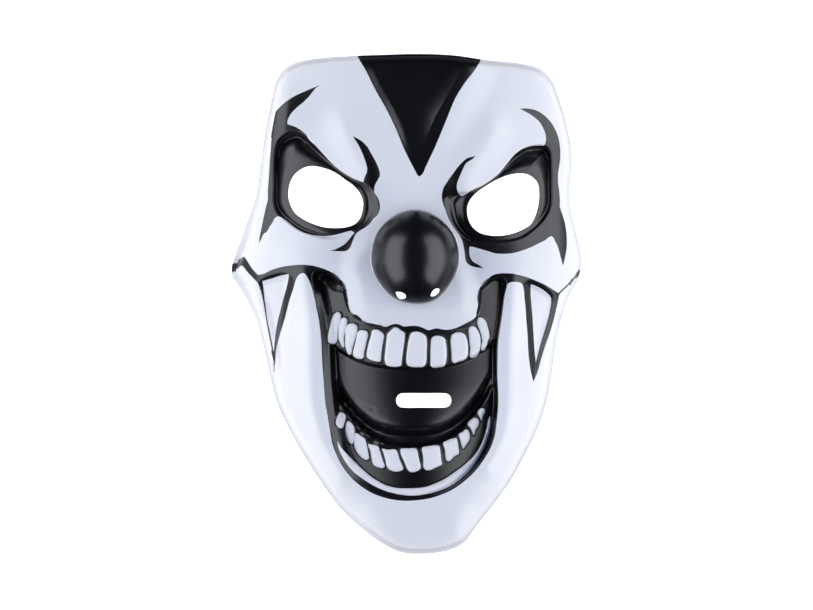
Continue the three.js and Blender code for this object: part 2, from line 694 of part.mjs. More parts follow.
// The solid becomes a mesh, centred over the middle of its own box.
const result = mask.getMesh();
const shell = new THREE.BufferGeometry();
shell.setAttribute('position', new THREE.BufferAttribute(new Float32Array(result.vertProperties), 3));
shell.setIndex(new THREE.BufferAttribute(new Uint32Array(result.triVerts), 1));
shell.computeBoundingBox();
const boxMiddle = shell.boundingBox.getCenter(new THREE.Vector3());
shell.translate(-boxMiddle.x, -boxMiddle.y, 0);
shell.computeVertexNormals();

const plastic = new THREE.MeshStandardMaterial({ color: 0xdfe3f1, roughness: 0.3, metalness: 0 });
const maskShell = new THREE.Mesh(shell, plastic);
maskShell.name = 'mask_shell';

const group = new THREE.Group();
group.add(maskShell);

export default group;
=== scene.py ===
"""Clown mask, vacuum-formed in one piece: glossy white plastic with gloss black paint.

It lies face up on a pale floor. Lengths in the tables are millimetres in the plane of the rim, as the
camera sees them: x to the right of the picture, y up it. The mesh is turned into metres at the end.
"""
import math

import bpy
import numpy as np
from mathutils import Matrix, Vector
from mathutils.geometry import delaunay_2d_cdt


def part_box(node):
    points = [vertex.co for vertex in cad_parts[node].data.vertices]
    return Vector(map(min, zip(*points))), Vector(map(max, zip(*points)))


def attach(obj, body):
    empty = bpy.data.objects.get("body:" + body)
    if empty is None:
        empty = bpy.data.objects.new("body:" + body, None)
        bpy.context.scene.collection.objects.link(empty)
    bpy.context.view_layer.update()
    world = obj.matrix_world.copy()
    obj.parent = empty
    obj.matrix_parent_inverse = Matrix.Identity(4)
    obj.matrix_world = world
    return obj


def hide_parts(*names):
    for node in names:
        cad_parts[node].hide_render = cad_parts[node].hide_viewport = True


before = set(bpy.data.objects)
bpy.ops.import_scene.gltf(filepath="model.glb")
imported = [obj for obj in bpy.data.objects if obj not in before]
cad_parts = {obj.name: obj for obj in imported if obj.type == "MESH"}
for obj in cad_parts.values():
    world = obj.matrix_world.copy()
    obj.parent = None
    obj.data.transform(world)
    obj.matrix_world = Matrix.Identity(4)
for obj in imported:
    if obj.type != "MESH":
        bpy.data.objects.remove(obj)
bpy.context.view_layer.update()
cad_low, cad_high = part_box("mask_shell")

WALL = 1.1                   # sheet thickness
CROWN = 56.0                 # height of the face over the rim's lip
NOSE_TOP = 85.2              # height of the nose over the same
STEEP = 2.6                  # width of the steep foot of the side wall
BAND = 2.0                   # width of the rings on it
BROW_RISE = 3.0
HOLLOW_DROP = 2.6            # of the wedges in the cheeks
FOLD_RISE = 2.4              # of the cheeks' edge beside the mouth
MUZZLE_RISE = 2.5
CHIN_DROP = 3.0              # on both sides of the chin
PANEL_DROP = 0.3             # of the forehead panel, at its low point
PANEL_TOP_DROP = 1.8         # what it gains towards the top
TEMPLE_DROP = 3.0            # of the forehead, right of the panel
LID_DROP = 5.5
SOCKET_DROP = 3.2            # of the sockets' ends beside the nose
MOUTH_DROP = 2.2
GUM_STEP = 3.2
TROUGH_DROP = 4.5            # under the plate between the teeth
LOW_GUM_RISE = 1.2
CREASE_DROP = 0.16
LUMP_RISE = 1.3
LIP_RISE = 1.8
TOOTH_RISE = 1.25
CAMERA_HEIGHT = 3000.0       # over the floor
CAMERA_AIM = (0.5, -0.5)     # where the camera looks, in table coordinates
PICTURE_WIDTH = 406.5        # what it sees there
SENSOR = 36.0
FINE = 1.0

# Tables
OUTLINE = [
    (6, 125.2), (-10, 124.8), (-26, 124.2), (-42, 123), (-54, 121), (-61, 117), (-65, 110), (-67.6, 99),
    (-69.8, 88), (-71.8, 75), (-73.3, 63), (-74.6, 54.5), (-77.6, 45.5), (-81.4, 35), (-85, 25),
    (-87, 18.5), (-86.6, 13.8), (-82.6, 7.6), (-78.2, 0), (-74.4, -8.5), (-71.6, -19), (-69, -30),
    (-66.6, -41), (-63.6, -51), (-57.6, -63.8), (-50, -77), (-41.5, -90), (-33.5, -101), (-24, -110.2),
    (-13, -118.8), (-3, -124), (8, -125), (20, -123.6), (28.5, -120), (35.5, -111), (44, -100.2),
    (52.5, -88.5), (60, -74.8), (66.8, -60.5), (71, -47), (73.2, -35), (75.2, -20), (78, -7.5), (81.6, 3),
    (86.2, 12.2), (88, 19.5), (87.4, 27.5), (85, 37), (83, 46), (82.2, 57), (83, 70), (82.8, 79),
    (80.4, 90.5), (77.2, 101.5), (73.2, 111.5), (67.5, 117.6), (57, 120.4), (42, 121.9), (24, 124.5),
]
NOSE_MIDDLE = (4.9, 24.5)
NOSE = [
    (-17.2, 23), (-16.7, 28), (-15.8, 32), (-14, 36.5), (-11, 39.8), (-8, 42.5), (-4.5, 44.8), (0, 46.5),
    (4.5, 47.2), (9, 46.7), (13, 45.2), (17, 42.8), (20.5, 39.5), (23.5, 36), (25.5, 31.5), (26.5, 27.5),
    (26.8, 23), (26.4, 19), (25.2, 15), (23, 11), (20.8, 7.8), (18, 4.5), (15, 2), (11, 0.5), (6, 0.1),
    (1, 0.5), (-4, 2), (-8, 4.5), (-11, 7.8), (-14, 11.8), (-16, 16), (-17, 20),
]
MUZZLE = [
    (5, 60), (-5, 57.5), (-13, 50), (-18, 42), (-25, 35), (-31, 26), (-33, 17), (-30.5, 9), (-28.6, 0),
    (-26, -5), (-20, -9.2), (-9, -11), (5, -11), (16, -12.4), (26, -11.7), (33.5, -8), (36, -1),
    (36.6, 8), (34, 17), (31, 25), (28, 34), (23.5, 42), (19, 50), (13, 57),
]
LOWER_RIM = [
    (46.5, -48), (46.2, -54), (45.5, -60), (44.8, -65), (43, -71), (40, -76.5), (37, -81), (33.5, -85),
    (29, -89), (24, -92.5), (18, -95.3), (12, -97.2), (5, -98.2), (0, -98.4), (-6, -97.9), (-12, -96.4),
    (-17, -94.4), (-22, -91.3), (-27, -87), (-31, -82), (-34, -76.5), (-36.5, -70), (-37.8, -63),
    (-39, -56), (-40, -50),
]
MOUTH_EDGE = [(-32, 12), (-39, 17), (-46.5, 16), (-45.6, 4), (-43.3, -8), (-42, -20), (-41.2, -35)]
MOUTH_EDGE += LOWER_RIM[::-2]
MOUTH_EDGE += [(46, -34), (46.2, -20), (47.8, -9), (49.2, 2), (50.5, 12), (44, 14), (37.5, 9)]
MUZZLE_EDGE = [
    (36, -1), (34, -7.5), (26, -11.7), (16, -12.4), (5, -11), (-9, -11), (-20, -9.2), (-27, -4.8),
    (-29, 3),
]
LEFT_SOCKET = [
    (-66.3, 50), (-66.4, 60), (-66.4, 70), (-65.8, 78), (-63.5, 83), (-58, 86.3), (-52, 86), (-45, 79.5),
    (-38, 72.5), (-30, 65.5), (-25, 62.8), (-15.5, 57), (-13, 50), (-13.2, 45), (-17, 40.5), (-25, 35.2),
    (-30, 33.2), (-38, 31.8), (-46, 33.3), (-53, 36), (-59, 40), (-64.5, 45.5),
]
RIGHT_SOCKET = [
    (18.8, 53), (21, 44), (25, 37.5), (29, 33.5), (34, 31.2), (42, 30.6), (50, 30.8), (58, 32.5),
    (64, 36.5), (69.5, 42), (73, 48.5), (73.4, 60), (73.3, 70), (72.6, 77), (69, 80), (62, 79.5),
    (54, 74.8), (43, 63.2), (33, 57), (24, 56),
]
LEFT_EYE = [
    (-58.6, 55), (-58.3, 52), (-57.3, 49), (-55.2, 45.5), (-52, 43), (-48, 40.8), (-44, 39.3),
    (-40, 38.3), (-36, 38), (-32, 38.1), (-28, 38.8), (-25, 40.3), (-23, 42.5), (-21.8, 45.5),
    (-21.2, 49), (-21.3, 51.5), (-22.3, 54.5), (-24.3, 57.5), (-27, 60), (-30, 62), (-33, 64.3),
    (-37, 66.6), (-41, 68), (-45.5, 68.9), (-49, 68.7), (-52, 67.5), (-55, 65.2), (-57, 62.3),
    (-58.2, 58.8),
]
RIGHT_EYE = [
    (30.8, 46), (31, 49), (32, 51.5), (33.8, 54), (36, 56), (39.5, 58.5), (43, 60.7), (46, 62.3),
    (50, 64), (54, 65), (58, 65.3), (61.5, 64.6), (64.5, 62.5), (66.2, 60), (66.8, 56.5), (66.8, 53),
    (66.3, 49), (65.2, 45), (63.7, 41.5), (62, 39.3), (59, 37.5), (55, 35.7), (51, 34.6), (46, 34.1),
    (41, 34.5), (37.5, 35.5), (34.5, 37.5), (32.5, 40), (31.3, 43),
]
LEFT_NOSTRIL = [
    (-4.8, 5.8), (-4.2, 6.1), (-2.5, 5.9), (-0.7, 5.2), (0.2, 4.2), (-0.2, 3), (-1.8, 2.4), (-3.2, 2.8),
    (-4.3, 4.2),
]
RIGHT_NOSTRIL = [
    (13.6, 6.5), (15, 7.6), (16.9, 7.5), (16.9, 6.4), (15.6, 4.8), (14, 3.9), (12.6, 4.1), (12.9, 5.2),
]
SLOT = [
    (-4.7, -48.2), (-4.1, -50.3), (-2.6, -51.5), (0, -51.8), (9, -51.8), (18.2, -51.8), (20.8, -51.5),
    (22.3, -50.3), (22.9, -48.2), (22.3, -46.1), (20.8, -44.9), (18.2, -44.6), (9, -44.6), (0, -44.6),
    (-2.6, -44.9), (-4.1, -46.1),
]
PANEL_LEFT = [(-27, 133), (-20, 118), (-15, 107.5), (-9.6, 98), (-4.6, 88), (0.4, 76.5), (5.6, 68)]
PANEL_RIGHT = [
    (5.6, 68), (7.8, 73), (11.2, 84), (14, 91), (17.3, 98), (21.5, 105), (25.8, 112), (29.5, 119),
    (36, 133),
]
LEFT_HOLLOW = [(-74, 11), (-58, 15), (-56.5, 2), (-58.5, -18), (-62, -34), (-66.5, -22), (-71, -4)]
RIGHT_HOLLOW = [(60, 12), (75, 4), (72, -14), (64.5, -38), (60, -12)]
LEFT_BROW = [(-30, 89), (-27, 82), (-22, 73), (-18, 66)]
RIGHT_BROW = [(28, 62), (33, 71), (39, 79), (43, 86)]
LEFT_FOLD = [(-51, 12), (-49.5, -8), (-48, -30), (-46, -52), (-42, -70), (-33, -86)]
PLATE_CREASE = [(-31.2, -25), (-31, -32), (-30.4, -37), (-28.4, -43.6), (-24, -49), (-16, -52.8)]
LUMPS = [(-31, -49.5), (-28, -55), (-24, -60.5), (-20, -64.5), (-13, -69)]
# Bumps and dents: middle, reach across and along, height
BUMPS = [
    (-54, 25, 20, 11, 4), (58, 20, 20, 11, 4), (-68, 97, 18, 16, 4.8), (-67, -12, 19, 15, -8),
    (69, -14, 16, 15, -4),
]
RIGHT_FOLD = [(54, 9), (53.5, -8), (52, -30), (51, -52), (48, -68), (41, -82)]

# Black paint
FOREHEAD = [
    (-26, 130), (-24, 123.9), (-20, 117), (-15, 107), (-10, 98.2), (-5, 88), (0, 76), (5, 66.3),
    (6.1, 64.3), (6.8, 63.8), (7.7, 64.2), (8.8, 65.5), (10, 68.3), (15, 79), (20, 91), (25, 103),
    (30, 111), (35, 117.5), (38.2, 123.2), (41, 130),
]
LEFT_EYE_PAINT = [
    (-42.5, 109.6), (-48, 107.3), (-52, 105.6), (-55, 104.2), (-60, 101), (-63, 98.3), (-65, 96),
    (-66.3, 93), (-67, 89), (-67.2, 80), (-67.8, 72), (-68.2, 65), (-68.8, 57), (-68.9, 52),
    (-69.8, 48.5), (-71, 43), (-72, 38), (-73, 33), (-73.3, 30.3), (-72, 32.8), (-71, 35), (-69.5, 36),
    (-68, 38.5), (-66.3, 41), (-65.3, 43), (-63.8, 43.9), (-62, 43.3), (-60, 42), (-57.5, 40), (-55, 38),
    (-52, 36.2), (-48, 34.8), (-43, 34.1), (-40, 34), (-36, 34.4), (-32, 35.4), (-29, 36.3), (-27, 36.7),
    (-25.6, 35.6), (-26.7, 34.3), (-28.3, 32.2), (-30, 30.3), (-32, 28.9), (-34.5, 27.6), (-37.5, 26.7),
    (-35, 26.5), (-32, 26.4), (-30, 26.5), (-28.5, 27.3), (-27.3, 29), (-26.6, 31), (-25.8, 33),
    (-24.8, 35), (-23, 36.5), (-20, 38.3), (-18, 40), (-16, 42.5), (-14, 44.5), (-13, 46.8), (-12.8, 49),
    (-13.2, 51.5), (-14.3, 54), (-15.4, 55.5), (-15.6, 57), (-15.2, 59.5), (-14, 61.8), (-12.9, 64),
    (-12.8, 65.5), (-13.5, 68), (-15, 71.5), (-17, 75), (-19, 78.5), (-22, 81.5), (-24.5, 83),
    (-26.4, 84), (-25.5, 82.5), (-24, 80.3), (-22.5, 77.5), (-21, 74), (-20, 71), (-19.2, 68),
    (-19.3, 66), (-20.2, 64), (-20.9, 62), (-21.1, 60.9), (-25, 62.3), (-30, 65), (-35, 68.7),
    (-40, 73.7), (-45, 79.3), (-48, 82), (-50, 85), (-54, 88), (-57, 89.3), (-58.9, 89.8), (-59.1, 91),
    (-58.5, 93), (-57, 95.5), (-54, 98.5), (-51, 101), (-48.5, 103.5), (-46.5, 106), (-44.8, 108),
]
RIGHT_EYE_PAINT = [
    (57.2, 97.6), (60, 97.8), (64, 97.2), (67, 96), (70, 93.8), (73, 90.5), (75, 87), (76.5, 83),
    (77.2, 79), (77.4, 76), (77.3, 72), (76.8, 68.5), (76.3, 65), (76.3, 61), (76.8, 57), (77.2, 52),
    (77.2, 48.5), (78, 46), (79, 43), (80, 39), (80.5, 35), (80.7, 31), (80.5, 27.5), (79.9, 24),
    (78.8, 19), (78.2, 21), (77.2, 25), (76, 29), (74.7, 31.5), (74, 33.2), (73, 34), (71.8, 33.5),
    (70, 32), (67, 30.5), (63, 28.5), (58, 26.6), (54, 25.5), (50, 25.1), (45, 25.3), (41, 26.5),
    (37, 27.6), (33, 28.7), (31.9, 28.6), (31.9, 26.5), (32, 24.5), (32.8, 22.5), (34, 21), (35.5, 20.2),
    (37.5, 19), (39, 17.8), (37, 18.1), (34.5, 18.5), (32.5, 19.2), (30.8, 20.5), (30, 22), (29.6, 25),
    (29, 29), (28, 32.5), (26.5, 35), (25, 37), (23, 40), (21, 44), (20, 47), (18.7, 50.5), (18.2, 53),
    (18.4, 56), (19.2, 58.5), (20.5, 60.5), (22, 62.8), (24, 65.5), (26, 68.3), (28, 70.5), (30.5, 72.7),
    (33, 73.5), (35, 74), (33.5, 72.5), (31.5, 71.3), (30, 70), (28.5, 67), (27, 63.5), (26, 61),
    (25.6, 58.5), (26, 56.5), (27, 54.5), (28.2, 53.9), (29.5, 54.5), (31, 55.5), (34, 57.3), (38, 59),
    (42, 61.5), (46, 64.7), (50, 69.2), (53, 73), (55, 75.2), (58, 77.3), (61, 78.6), (64, 79.2),
    (67, 79.2), (69.3, 79.3), (69.8, 80), (70.2, 82), (70, 85), (68.8, 88), (67, 91), (64.5, 93.3),
    (61.5, 95.3),
]
GRIN = [
    (-89, 16.2), (-86.5, 20), (-84.3, 20), (-83.2, 21.8), (-81.5, 23), (-80, 23), (-78.5, 20.5),
    (-76.5, 17.5), (-75, 15.8), (-73.8, 14.6), (-72, 14.8), (-70, 15.5), (-67, 17), (-63, 18.3),
    (-58, 19.2), (-53, 19.6), (-48, 19.4), (-44, 18.6), (-40, 17.3), (-36, 15.4), (-33, 12.8),
    (-30.5, 10), (-29.5, 7), (-29, 4), (-28.7, 1), (-28.3, -1.5), (-27.6, -3.6), (-26, -5), (-24.5, -5.4),
    (-22.5, -7), (-21, -8.8), (-18, -9.5), (-14.5, -10.2), (-12, -10.9), (-10, -11.4), (-8.5, -11),
    (-7, -10.3), (-5, -9.9), (-3, -10.3), (-1, -11.2), (1, -11.1), (4, -10.9), (6.5, -11.1), (9, -12),
    (11, -13), (12.5, -12.9), (14, -12.4), (16, -12.2), (18, -12.6), (21, -12.9), (23.5, -12.5),
    (26, -11.7), (29, -10.2), (32, -8.6), (34.5, -7.1), (35.3, -6), (35.5, -4), (36.2, -1), (36.1, 0.8),
    (35.8, 3), (36.2, 5.5), (36.8, 7.5), (38.5, 10), (41, 12.5), (44, 14.6), (47, 15.3), (50, 15.4),
    (54, 15.1), (58, 14.2), (62, 13), (66, 11.3), (70, 9.5), (74, 7), (76.5, 5.5), (78, 7), (81, 9.8),
    (83.5, 12.3), (85, 13.9), (85.8, 15.5), (88.5, 18.2), (89, 16.4), (86.5, 14.6), (85.7, 13.7),
    (84.8, 13.2), (83, 11.2), (80, 8), (78, 6), (77, 4.8), (76.5, 3), (75.7, -1), (74.8, -5), (73.5, -10),
    (72, -15), (70, -20.5), (68, -27), (66.3, -33), (65, -36.5), (64, -39), (63.3, -36.5), (62.5, -33),
    (61.8, -28), (61.3, -22), (61, -15), (60.4, -8), (60, -2), (59.5, 3), (59, 8), (58.2, 10.2),
    (56.5, 10.9), (54, 11.1), (52.2, 10.8), (51, 9.8), (50.3, 7.5), (49.5, 4), (49, 0), (48.5, -4),
    (47.8, -9), (47, -14), (46.3, -19), (46.1, -24), (46, -36), (46.3, -42),
]
GRIN += LOWER_RIM
GRIN += [
    (-40.7, -42), (-41.2, -35), (-41.7, -28), (-42, -20), (-42.5, -14), (-43.3, -8), (-44.5, -2),
    (-45.5, 3), (-46.8, 8), (-48.3, 12), (-50, 14.8), (-51.2, 15.5), (-52.5, 15.1), (-54, 13.7),
    (-55, 11.5), (-56, 8), (-57.5, 3.5), (-58.8, -1), (-60, -6), (-61.5, -11), (-63.3, -17), (-64.5, -22),
    (-65, -27), (-65.3, -31), (-65.7, -34.3), (-66, -31), (-66.5, -26), (-67.2, -21), (-68.4, -15),
    (-69.5, -9), (-70.3, -4), (-71.3, 2), (-72.5, 7), (-73.8, 10.3), (-76, 12.8), (-79, 16), (-81, 18.5),
    (-82, 19.7), (-83, 19), (-84.5, 17.8), (-86, 16.4),
]

# White left inside the black
LEFT_WEDGE = [
    (-71.6, 11.5), (-67, 12.7), (-62, 14.3), (-58.3, 14.9), (-58.4, 13.5), (-59.5, 8), (-61, 3),
    (-62.5, -3), (-64, -9), (-65, -15), (-65.6, -21), (-66, -23.8), (-66.8, -19), (-68, -13), (-69, -8),
    (-69.8, -2), (-70.5, 3), (-71, 8),
]
RIGHT_WEDGE = [
    (62.7, 10), (65, 9.1), (68, 7.6), (71, 5.3), (72.7, 3.2), (72.8, 1), (72, -4), (70.5, -10), (69, -15),
    (67.5, -20), (66.2, -25), (65.2, -29), (64.6, -24), (64, -15), (63.5, -6), (63, 0), (62.6, 6),
]
LIP = [
    (-34.2, -68.3), (-32, -72), (-29, -75.3), (-25, -79.3), (-20, -84), (-15, -87.8), (-10, -90.5),
    (-5, -91.9), (0, -92.2), (5, -92.1), (10, -91.5), (15, -89.7), (20, -87.2), (25, -83.8), (30, -80),
    (35, -75), (38.5, -69), (40.5, -63), (41.8, -57), (42.5, -56), (42.5, -60), (41.8, -64), (40, -70),
    (37, -76), (33, -82), (28, -87), (22, -91.2), (16, -93.6), (10, -95.1), (3, -95.8), (-4, -95),
    (-10, -93.4), (-16, -90.8), (-22, -87), (-27, -82.8), (-31, -77.3), (-33.5, -72),
]
UPPER_TEETH = [
    [(-34.3, -4), (-33, -4.2), (-32.2, -5.5), (-32.7, -9), (-33.8, -14), (-34.3, -18.8), (-35.2, -19.8),
     (-37, -20), (-38.5, -19), (-38.7, -16.5), (-38, -12), (-37, -8), (-36, -5.3)],
    [(-32.2, -7.5), (-30.8, -6.7), (-29.2, -7.4), (-29.1, -9), (-30, -13), (-30.8, -18), (-30.5, -21),
     (-31, -22), (-32.7, -19.5), (-33.5, -17), (-33.3, -12), (-32.7, -9)],
    [(-28.5, -10), (-26, -9.7), (-24.3, -10.8), (-24, -12.5), (-25, -17), (-26.5, -22), (-27.2, -25.2),
     (-28.3, -25.4), (-29.5, -23.5), (-30.2, -20), (-30.1, -16), (-29.8, -12)],
    [(-23.7, -13.8), (-21.5, -13), (-19.3, -13.6), (-18.7, -15), (-19.5, -19), (-20.5, -23.5),
     (-21.2, -27.1), (-23, -27.5), (-25, -26.9), (-26.3, -25.5), (-26, -23), (-25, -19)],
    [(-16.5, -13.2), (-14.5, -12.7), (-12.2, -13.8), (-10.8, -15.5), (-11.2, -19), (-12, -24),
     (-12.7, -28.8), (-15, -28.7), (-17.5, -28), (-19.3, -26.5), (-19.4, -24.5), (-18.5, -20),
     (-17.3, -16)],
    [(-7.5, -13.5), (-5.7, -11.8), (-4.5, -11.7), (-2.5, -13), (-0.5, -14.6), (-0.4, -17), (-1, -22),
     (-1.8, -28), (-2.3, -30.8), (-4.5, -31.4), (-7.5, -31.3), (-9.5, -30.5), (-10.4, -28), (-10.2, -24),
     (-9.5, -18), (-9, -15)],
    [(3, -14.5), (5, -13.8), (7.3, -14.2), (10, -16), (10.6, -18), (10.6, -24), (10.2, -29.5), (9, -31.3),
     (6, -31.6), (3, -31.5), (1, -30.5), (0.4, -28), (0.8, -23), (1.6, -18)],
    [(13.2, -17), (15, -15.9), (17.5, -16.1), (19.5, -17.2), (20.2, -19.5), (20.6, -24), (20.3, -28.5),
     (19.3, -31), (16.5, -31.7), (14, -31.9), (12.7, -31), (12.5, -27), (12.6, -21)],
    [(23.2, -15.5), (25, -14.3), (27.5, -14.2), (29.8, -15.5), (31, -19), (31.3, -23), (30.8, -26.5),
     (29, -28.2), (26.5, -28.8), (24.5, -29.6), (23.5, -29), (23, -24), (22.6, -18.5)],
    [(31.7, -12), (32.5, -11.1), (34.5, -11.2), (36, -13), (37.3, -16), (37.5, -20), (36.8, -24),
     (35.5, -26.3), (33.5, -27), (32.3, -26.6), (32.4, -22), (31.8, -17)],
    [(36, -7.5), (36.8, -6.5), (38.5, -7), (40, -8.2), (41, -11), (42, -15), (42, -17), (41.2, -18.5),
     (40.5, -21), (39.3, -23.3), (38, -23.4), (37.9, -20), (38.3, -19), (37.8, -15.5), (36.8, -12.5),
     (35.8, -9.5)],
]
LOWER_TEETH = [
    [(-32.5, -54), (-30.3, -55.2), (-30, -57), (-30.7, -60), (-31.6, -62), (-33, -62), (-34.5, -60.7),
     (-34.8, -58.5), (-33.8, -55.5)],
    [(-28.8, -58.5), (-27, -59.5), (-25.8, -61.5), (-25.5, -64.5), (-25.9, -68.5), (-26.7, -70.1),
     (-28, -69.4), (-29.5, -66.5), (-30.2, -63.5), (-29.8, -60.5)],
    [(-25, -64.5), (-22.5, -65.8), (-20.5, -67.3), (-19.5, -70), (-18.5, -75), (-18.3, -77.3),
     (-19.5, -78), (-22, -76.7), (-24.5, -73.8), (-25.6, -71), (-25.6, -67)],
    [(-18.6, -70.1), (-16.5, -70.3), (-14, -71), (-12.8, -73.5), (-11.5, -77.5), (-10.4, -81.5),
     (-11.5, -82.1), (-14, -81.6), (-16.2, -80.2), (-16.8, -78), (-17.6, -73.5)],
    [(-11.6, -72.4), (-9, -72.8), (-5.5, -72.6), (-4.3, -73.5), (-3, -77.5), (-1.2, -82.5), (-2.2, -83.4),
     (-5, -83.8), (-8, -82.8), (-9.4, -81), (-10, -78), (-11, -74.5)],
    [(-2.3, -72.4), (1.5, -72.2), (5.2, -72.2), (5.9, -73.5), (6.7, -77.5), (7.6, -81.5), (7, -82.8),
     (3.8, -84.1), (2, -83.7), (0.7, -82), (-0.7, -78.5), (-2.3, -75)],
    [(8.4, -71.9), (11, -71.1), (15, -70.6), (16.7, -70.8), (17.3, -73), (17.9, -78), (18.2, -80.2),
     (15.5, -81.6), (12, -83.1), (10, -82.9), (9, -81.5), (8.9, -77)],
    [(18.9, -69.3), (21, -68.2), (24, -67.1), (25.4, -67), (26, -68.5), (26.7, -73), (26.8, -74.8),
     (24, -76.5), (22.2, -78.5), (20.8, -78.5), (20, -76.5), (19.7, -73)],
    [(26.7, -65), (28.5, -64), (30.3, -62.6), (31.6, -63.8), (32.2, -66), (31.8, -68.5), (30, -70.8),
     (29, -72.4), (28.3, -71.5), (27.5, -68.5)],
    [(31, -60), (32.3, -58), (34.5, -56.8), (36, -57.3), (36.8, -59), (36.3, -61), (35, -63),
     (34.2, -65.8), (33.6, -64.5), (32.5, -62)],
    [(36, -54.5), (36.5, -53), (38, -52), (39.5, -52.3), (39.7, -54), (38.7, -56), (38, -58.5),
     (37.5, -57.3), (36.7, -55.8)],
]
LIP_SLANT = 0.22             # rise of the rim's lip towards the wall
RIM_ROUND = 0.25             # its outer edge
STRAP_HOLES = [(-75.3, 52.5), (82.4, 52.5)]
STRAP_HOLE_HEIGHT = 8.0
STRAP_HOLE_RADIUS = 1.6


# Lines
def between(a, time_a, b, time_b, time):
    return a * (time_b - time) / (time_b - time_a) + b * (time - time_a) / (time_b - time_a)


def spline(points, step, corner=62.0, closed=True):
    """Points every step along a centripetal Catmull-Rom line, which keeps the table's sharp corners."""
    pts = [np.array(p, float) for p in points]
    count = len(pts)
    sharp = []
    for i in range(count if closed else 0):
        before = pts[i] - pts[i - 1]
        after = pts[(i + 1) % count] - pts[i]
        turn = math.degrees(math.atan2(before[0] * after[1] - before[1] * after[0], before @ after))
        if abs(turn) > corner:
            sharp.append(i)
    if not closed:
        runs = [pts]
    elif not sharp:
        runs = [pts[-2:] + pts + pts[:3]]
    else:
        runs = []
        for a, b in zip(sharp, sharp[1:] + [sharp[0] + count]):
            runs.append([pts[k % count] for k in range(a, b + 1)])
    line = []
    for run in runs:
        if closed and not sharp:
            inner = range(2, 2 + count)
        else:
            run = [2 * run[0] - run[1]] + run + [2 * run[-1] - run[-2]]
            inner = range(1, len(run) - 2)
        dense = []
        for i in inner:
            p0, p1, p2, p3 = run[i - 1], run[i], run[i + 1], run[i + 2]
            t1 = max(1e-4, np.linalg.norm(p1 - p0)) ** 0.5
            t2 = t1 + max(1e-4, np.linalg.norm(p2 - p1)) ** 0.5
            t3 = t2 + max(1e-4, np.linalg.norm(p3 - p2)) ** 0.5
            for k in range(12):
                t = t1 + (t2 - t1) * k / 12
                a = between(p1, t1, p2, t2, t)
                b1 = between(between(p0, 0, p1, t1, t), 0, a, t2, t)
                b2 = between(a, t1, between(p2, t2, p3, t3, t), t3, t)
                dense.append(between(b1, t1, b2, t2, t))
        dense.append(run[inner[-1] + 1])
        dense = np.array(dense)
        along = np.concatenate([[0], np.cumsum(np.linalg.norm(np.diff(dense, axis=0), axis=1))])
        parts = max(2, round(along[-1] / step))
        at = np.linspace(0, along[-1], parts + 1)
        even = np.stack([np.interp(at, along, dense[:, 0]), np.interp(at, along, dense[:, 1])], 1)
        line.append(even[:-1] if closed else even)
    return np.concatenate(line)


class Tiles:
    """Points sorted into square tiles, so that a line is only measured where it is near."""

    def __init__(self, q, size=14.0):
        q = np.asarray(q, float)
        key = np.floor(q[:, 0] / size) * 4096 + np.floor(q[:, 1] / size)
        self.order = np.argsort(key, kind="stable")
        self.q = q[self.order]
        cuts = np.flatnonzero(np.diff(key[self.order])) + 1
        starts = np.concatenate([[0], cuts])
        self.parts = list(zip(starts.tolist(), np.concatenate([cuts, [len(q)]]).tolist()))
        self.low = np.minimum.reduceat(self.q, starts)
        self.high = np.maximum.reduceat(self.q, starts)

    def near(self, low, high):
        return np.flatnonzero(((self.high >= low) & (self.low <= high)).all(1)).tolist()

    def back(self, values):
        out = np.empty_like(values)
        out[self.order] = values
        return out


def distance(line, tiles, reach, closed=True):
    """Distance from each point to a line, at most reach."""
    a = line if closed else line[:-1]
    b = np.roll(line, -1, axis=0) if closed else line[1:]
    d = b - a
    length2 = np.maximum(1e-12, (d * d).sum(1))
    seg_low, seg_high = np.minimum(a, b) - reach, np.maximum(a, b) + reach
    out = np.full(len(tiles.q), float(reach))
    for t in tiles.near(line.min(0) - reach, line.max(0) + reach):
        use = ((seg_low <= tiles.high[t]) & (seg_high >= tiles.low[t])).all(1)
        if use.any():
            first, last = tiles.parts[t]
            q, p, e = tiles.q[first:last], a[use], d[use]
            px = q[:, 0][:, None] - p[:, 0]
            py = q[:, 1][:, None] - p[:, 1]
            s = np.clip((px * e[:, 0] + py * e[:, 1]) / length2[use], 0, 1)
            away = (px - s * e[:, 0]) ** 2 + (py - s * e[:, 1]) ** 2
            out[first:last] = np.minimum(reach, np.sqrt(away.min(1)))
    return out


def inside_tiles(line, tiles):
    """Whether each point of the tiles lies inside a closed line."""
    out = np.zeros(len(tiles.q), bool)
    b = np.roll(line, -1, axis=0)
    low, high = np.minimum(line[:, 1], b[:, 1]), np.maximum(line[:, 1], b[:, 1])
    right = np.maximum(line[:, 0], b[:, 0])
    for t in tiles.near(line.min(0), line.max(0)):
        use = (low <= tiles.high[t][1]) & (high >= tiles.low[t][1]) & (right >= tiles.low[t][0])
        if use.any():
            first, last = tiles.parts[t]
            q, p, r = tiles.q[first:last], line[use], b[use]
            y = q[:, 1][:, None]
            tall = np.where(r[:, 1] == p[:, 1], 1, r[:, 1] - p[:, 1])
            crosses = (p[:, 1] > y) != (r[:, 1] > y)
            crosses &= q[:, 0][:, None] < p[:, 0] + (y - p[:, 1]) * (r[:, 0] - p[:, 0]) / tall
            out[first:last] = crosses.sum(1) % 2 == 1
    return out


def inside(line, q):
    """The same for loose points."""
    tiles = Tiles(q)
    return tiles.back(inside_tiles(line, tiles))


def depth_tiles(line, tiles, reach):
    """Depth inside a closed line, negative outside, at most reach either way."""
    return distance(line, tiles, reach) * np.where(inside_tiles(line, tiles), 1, -1)


def depth(line, q, reach):
    """The same for loose points."""
    tiles = Tiles(q)
    return tiles.back(depth_tiles(line, tiles, reach))


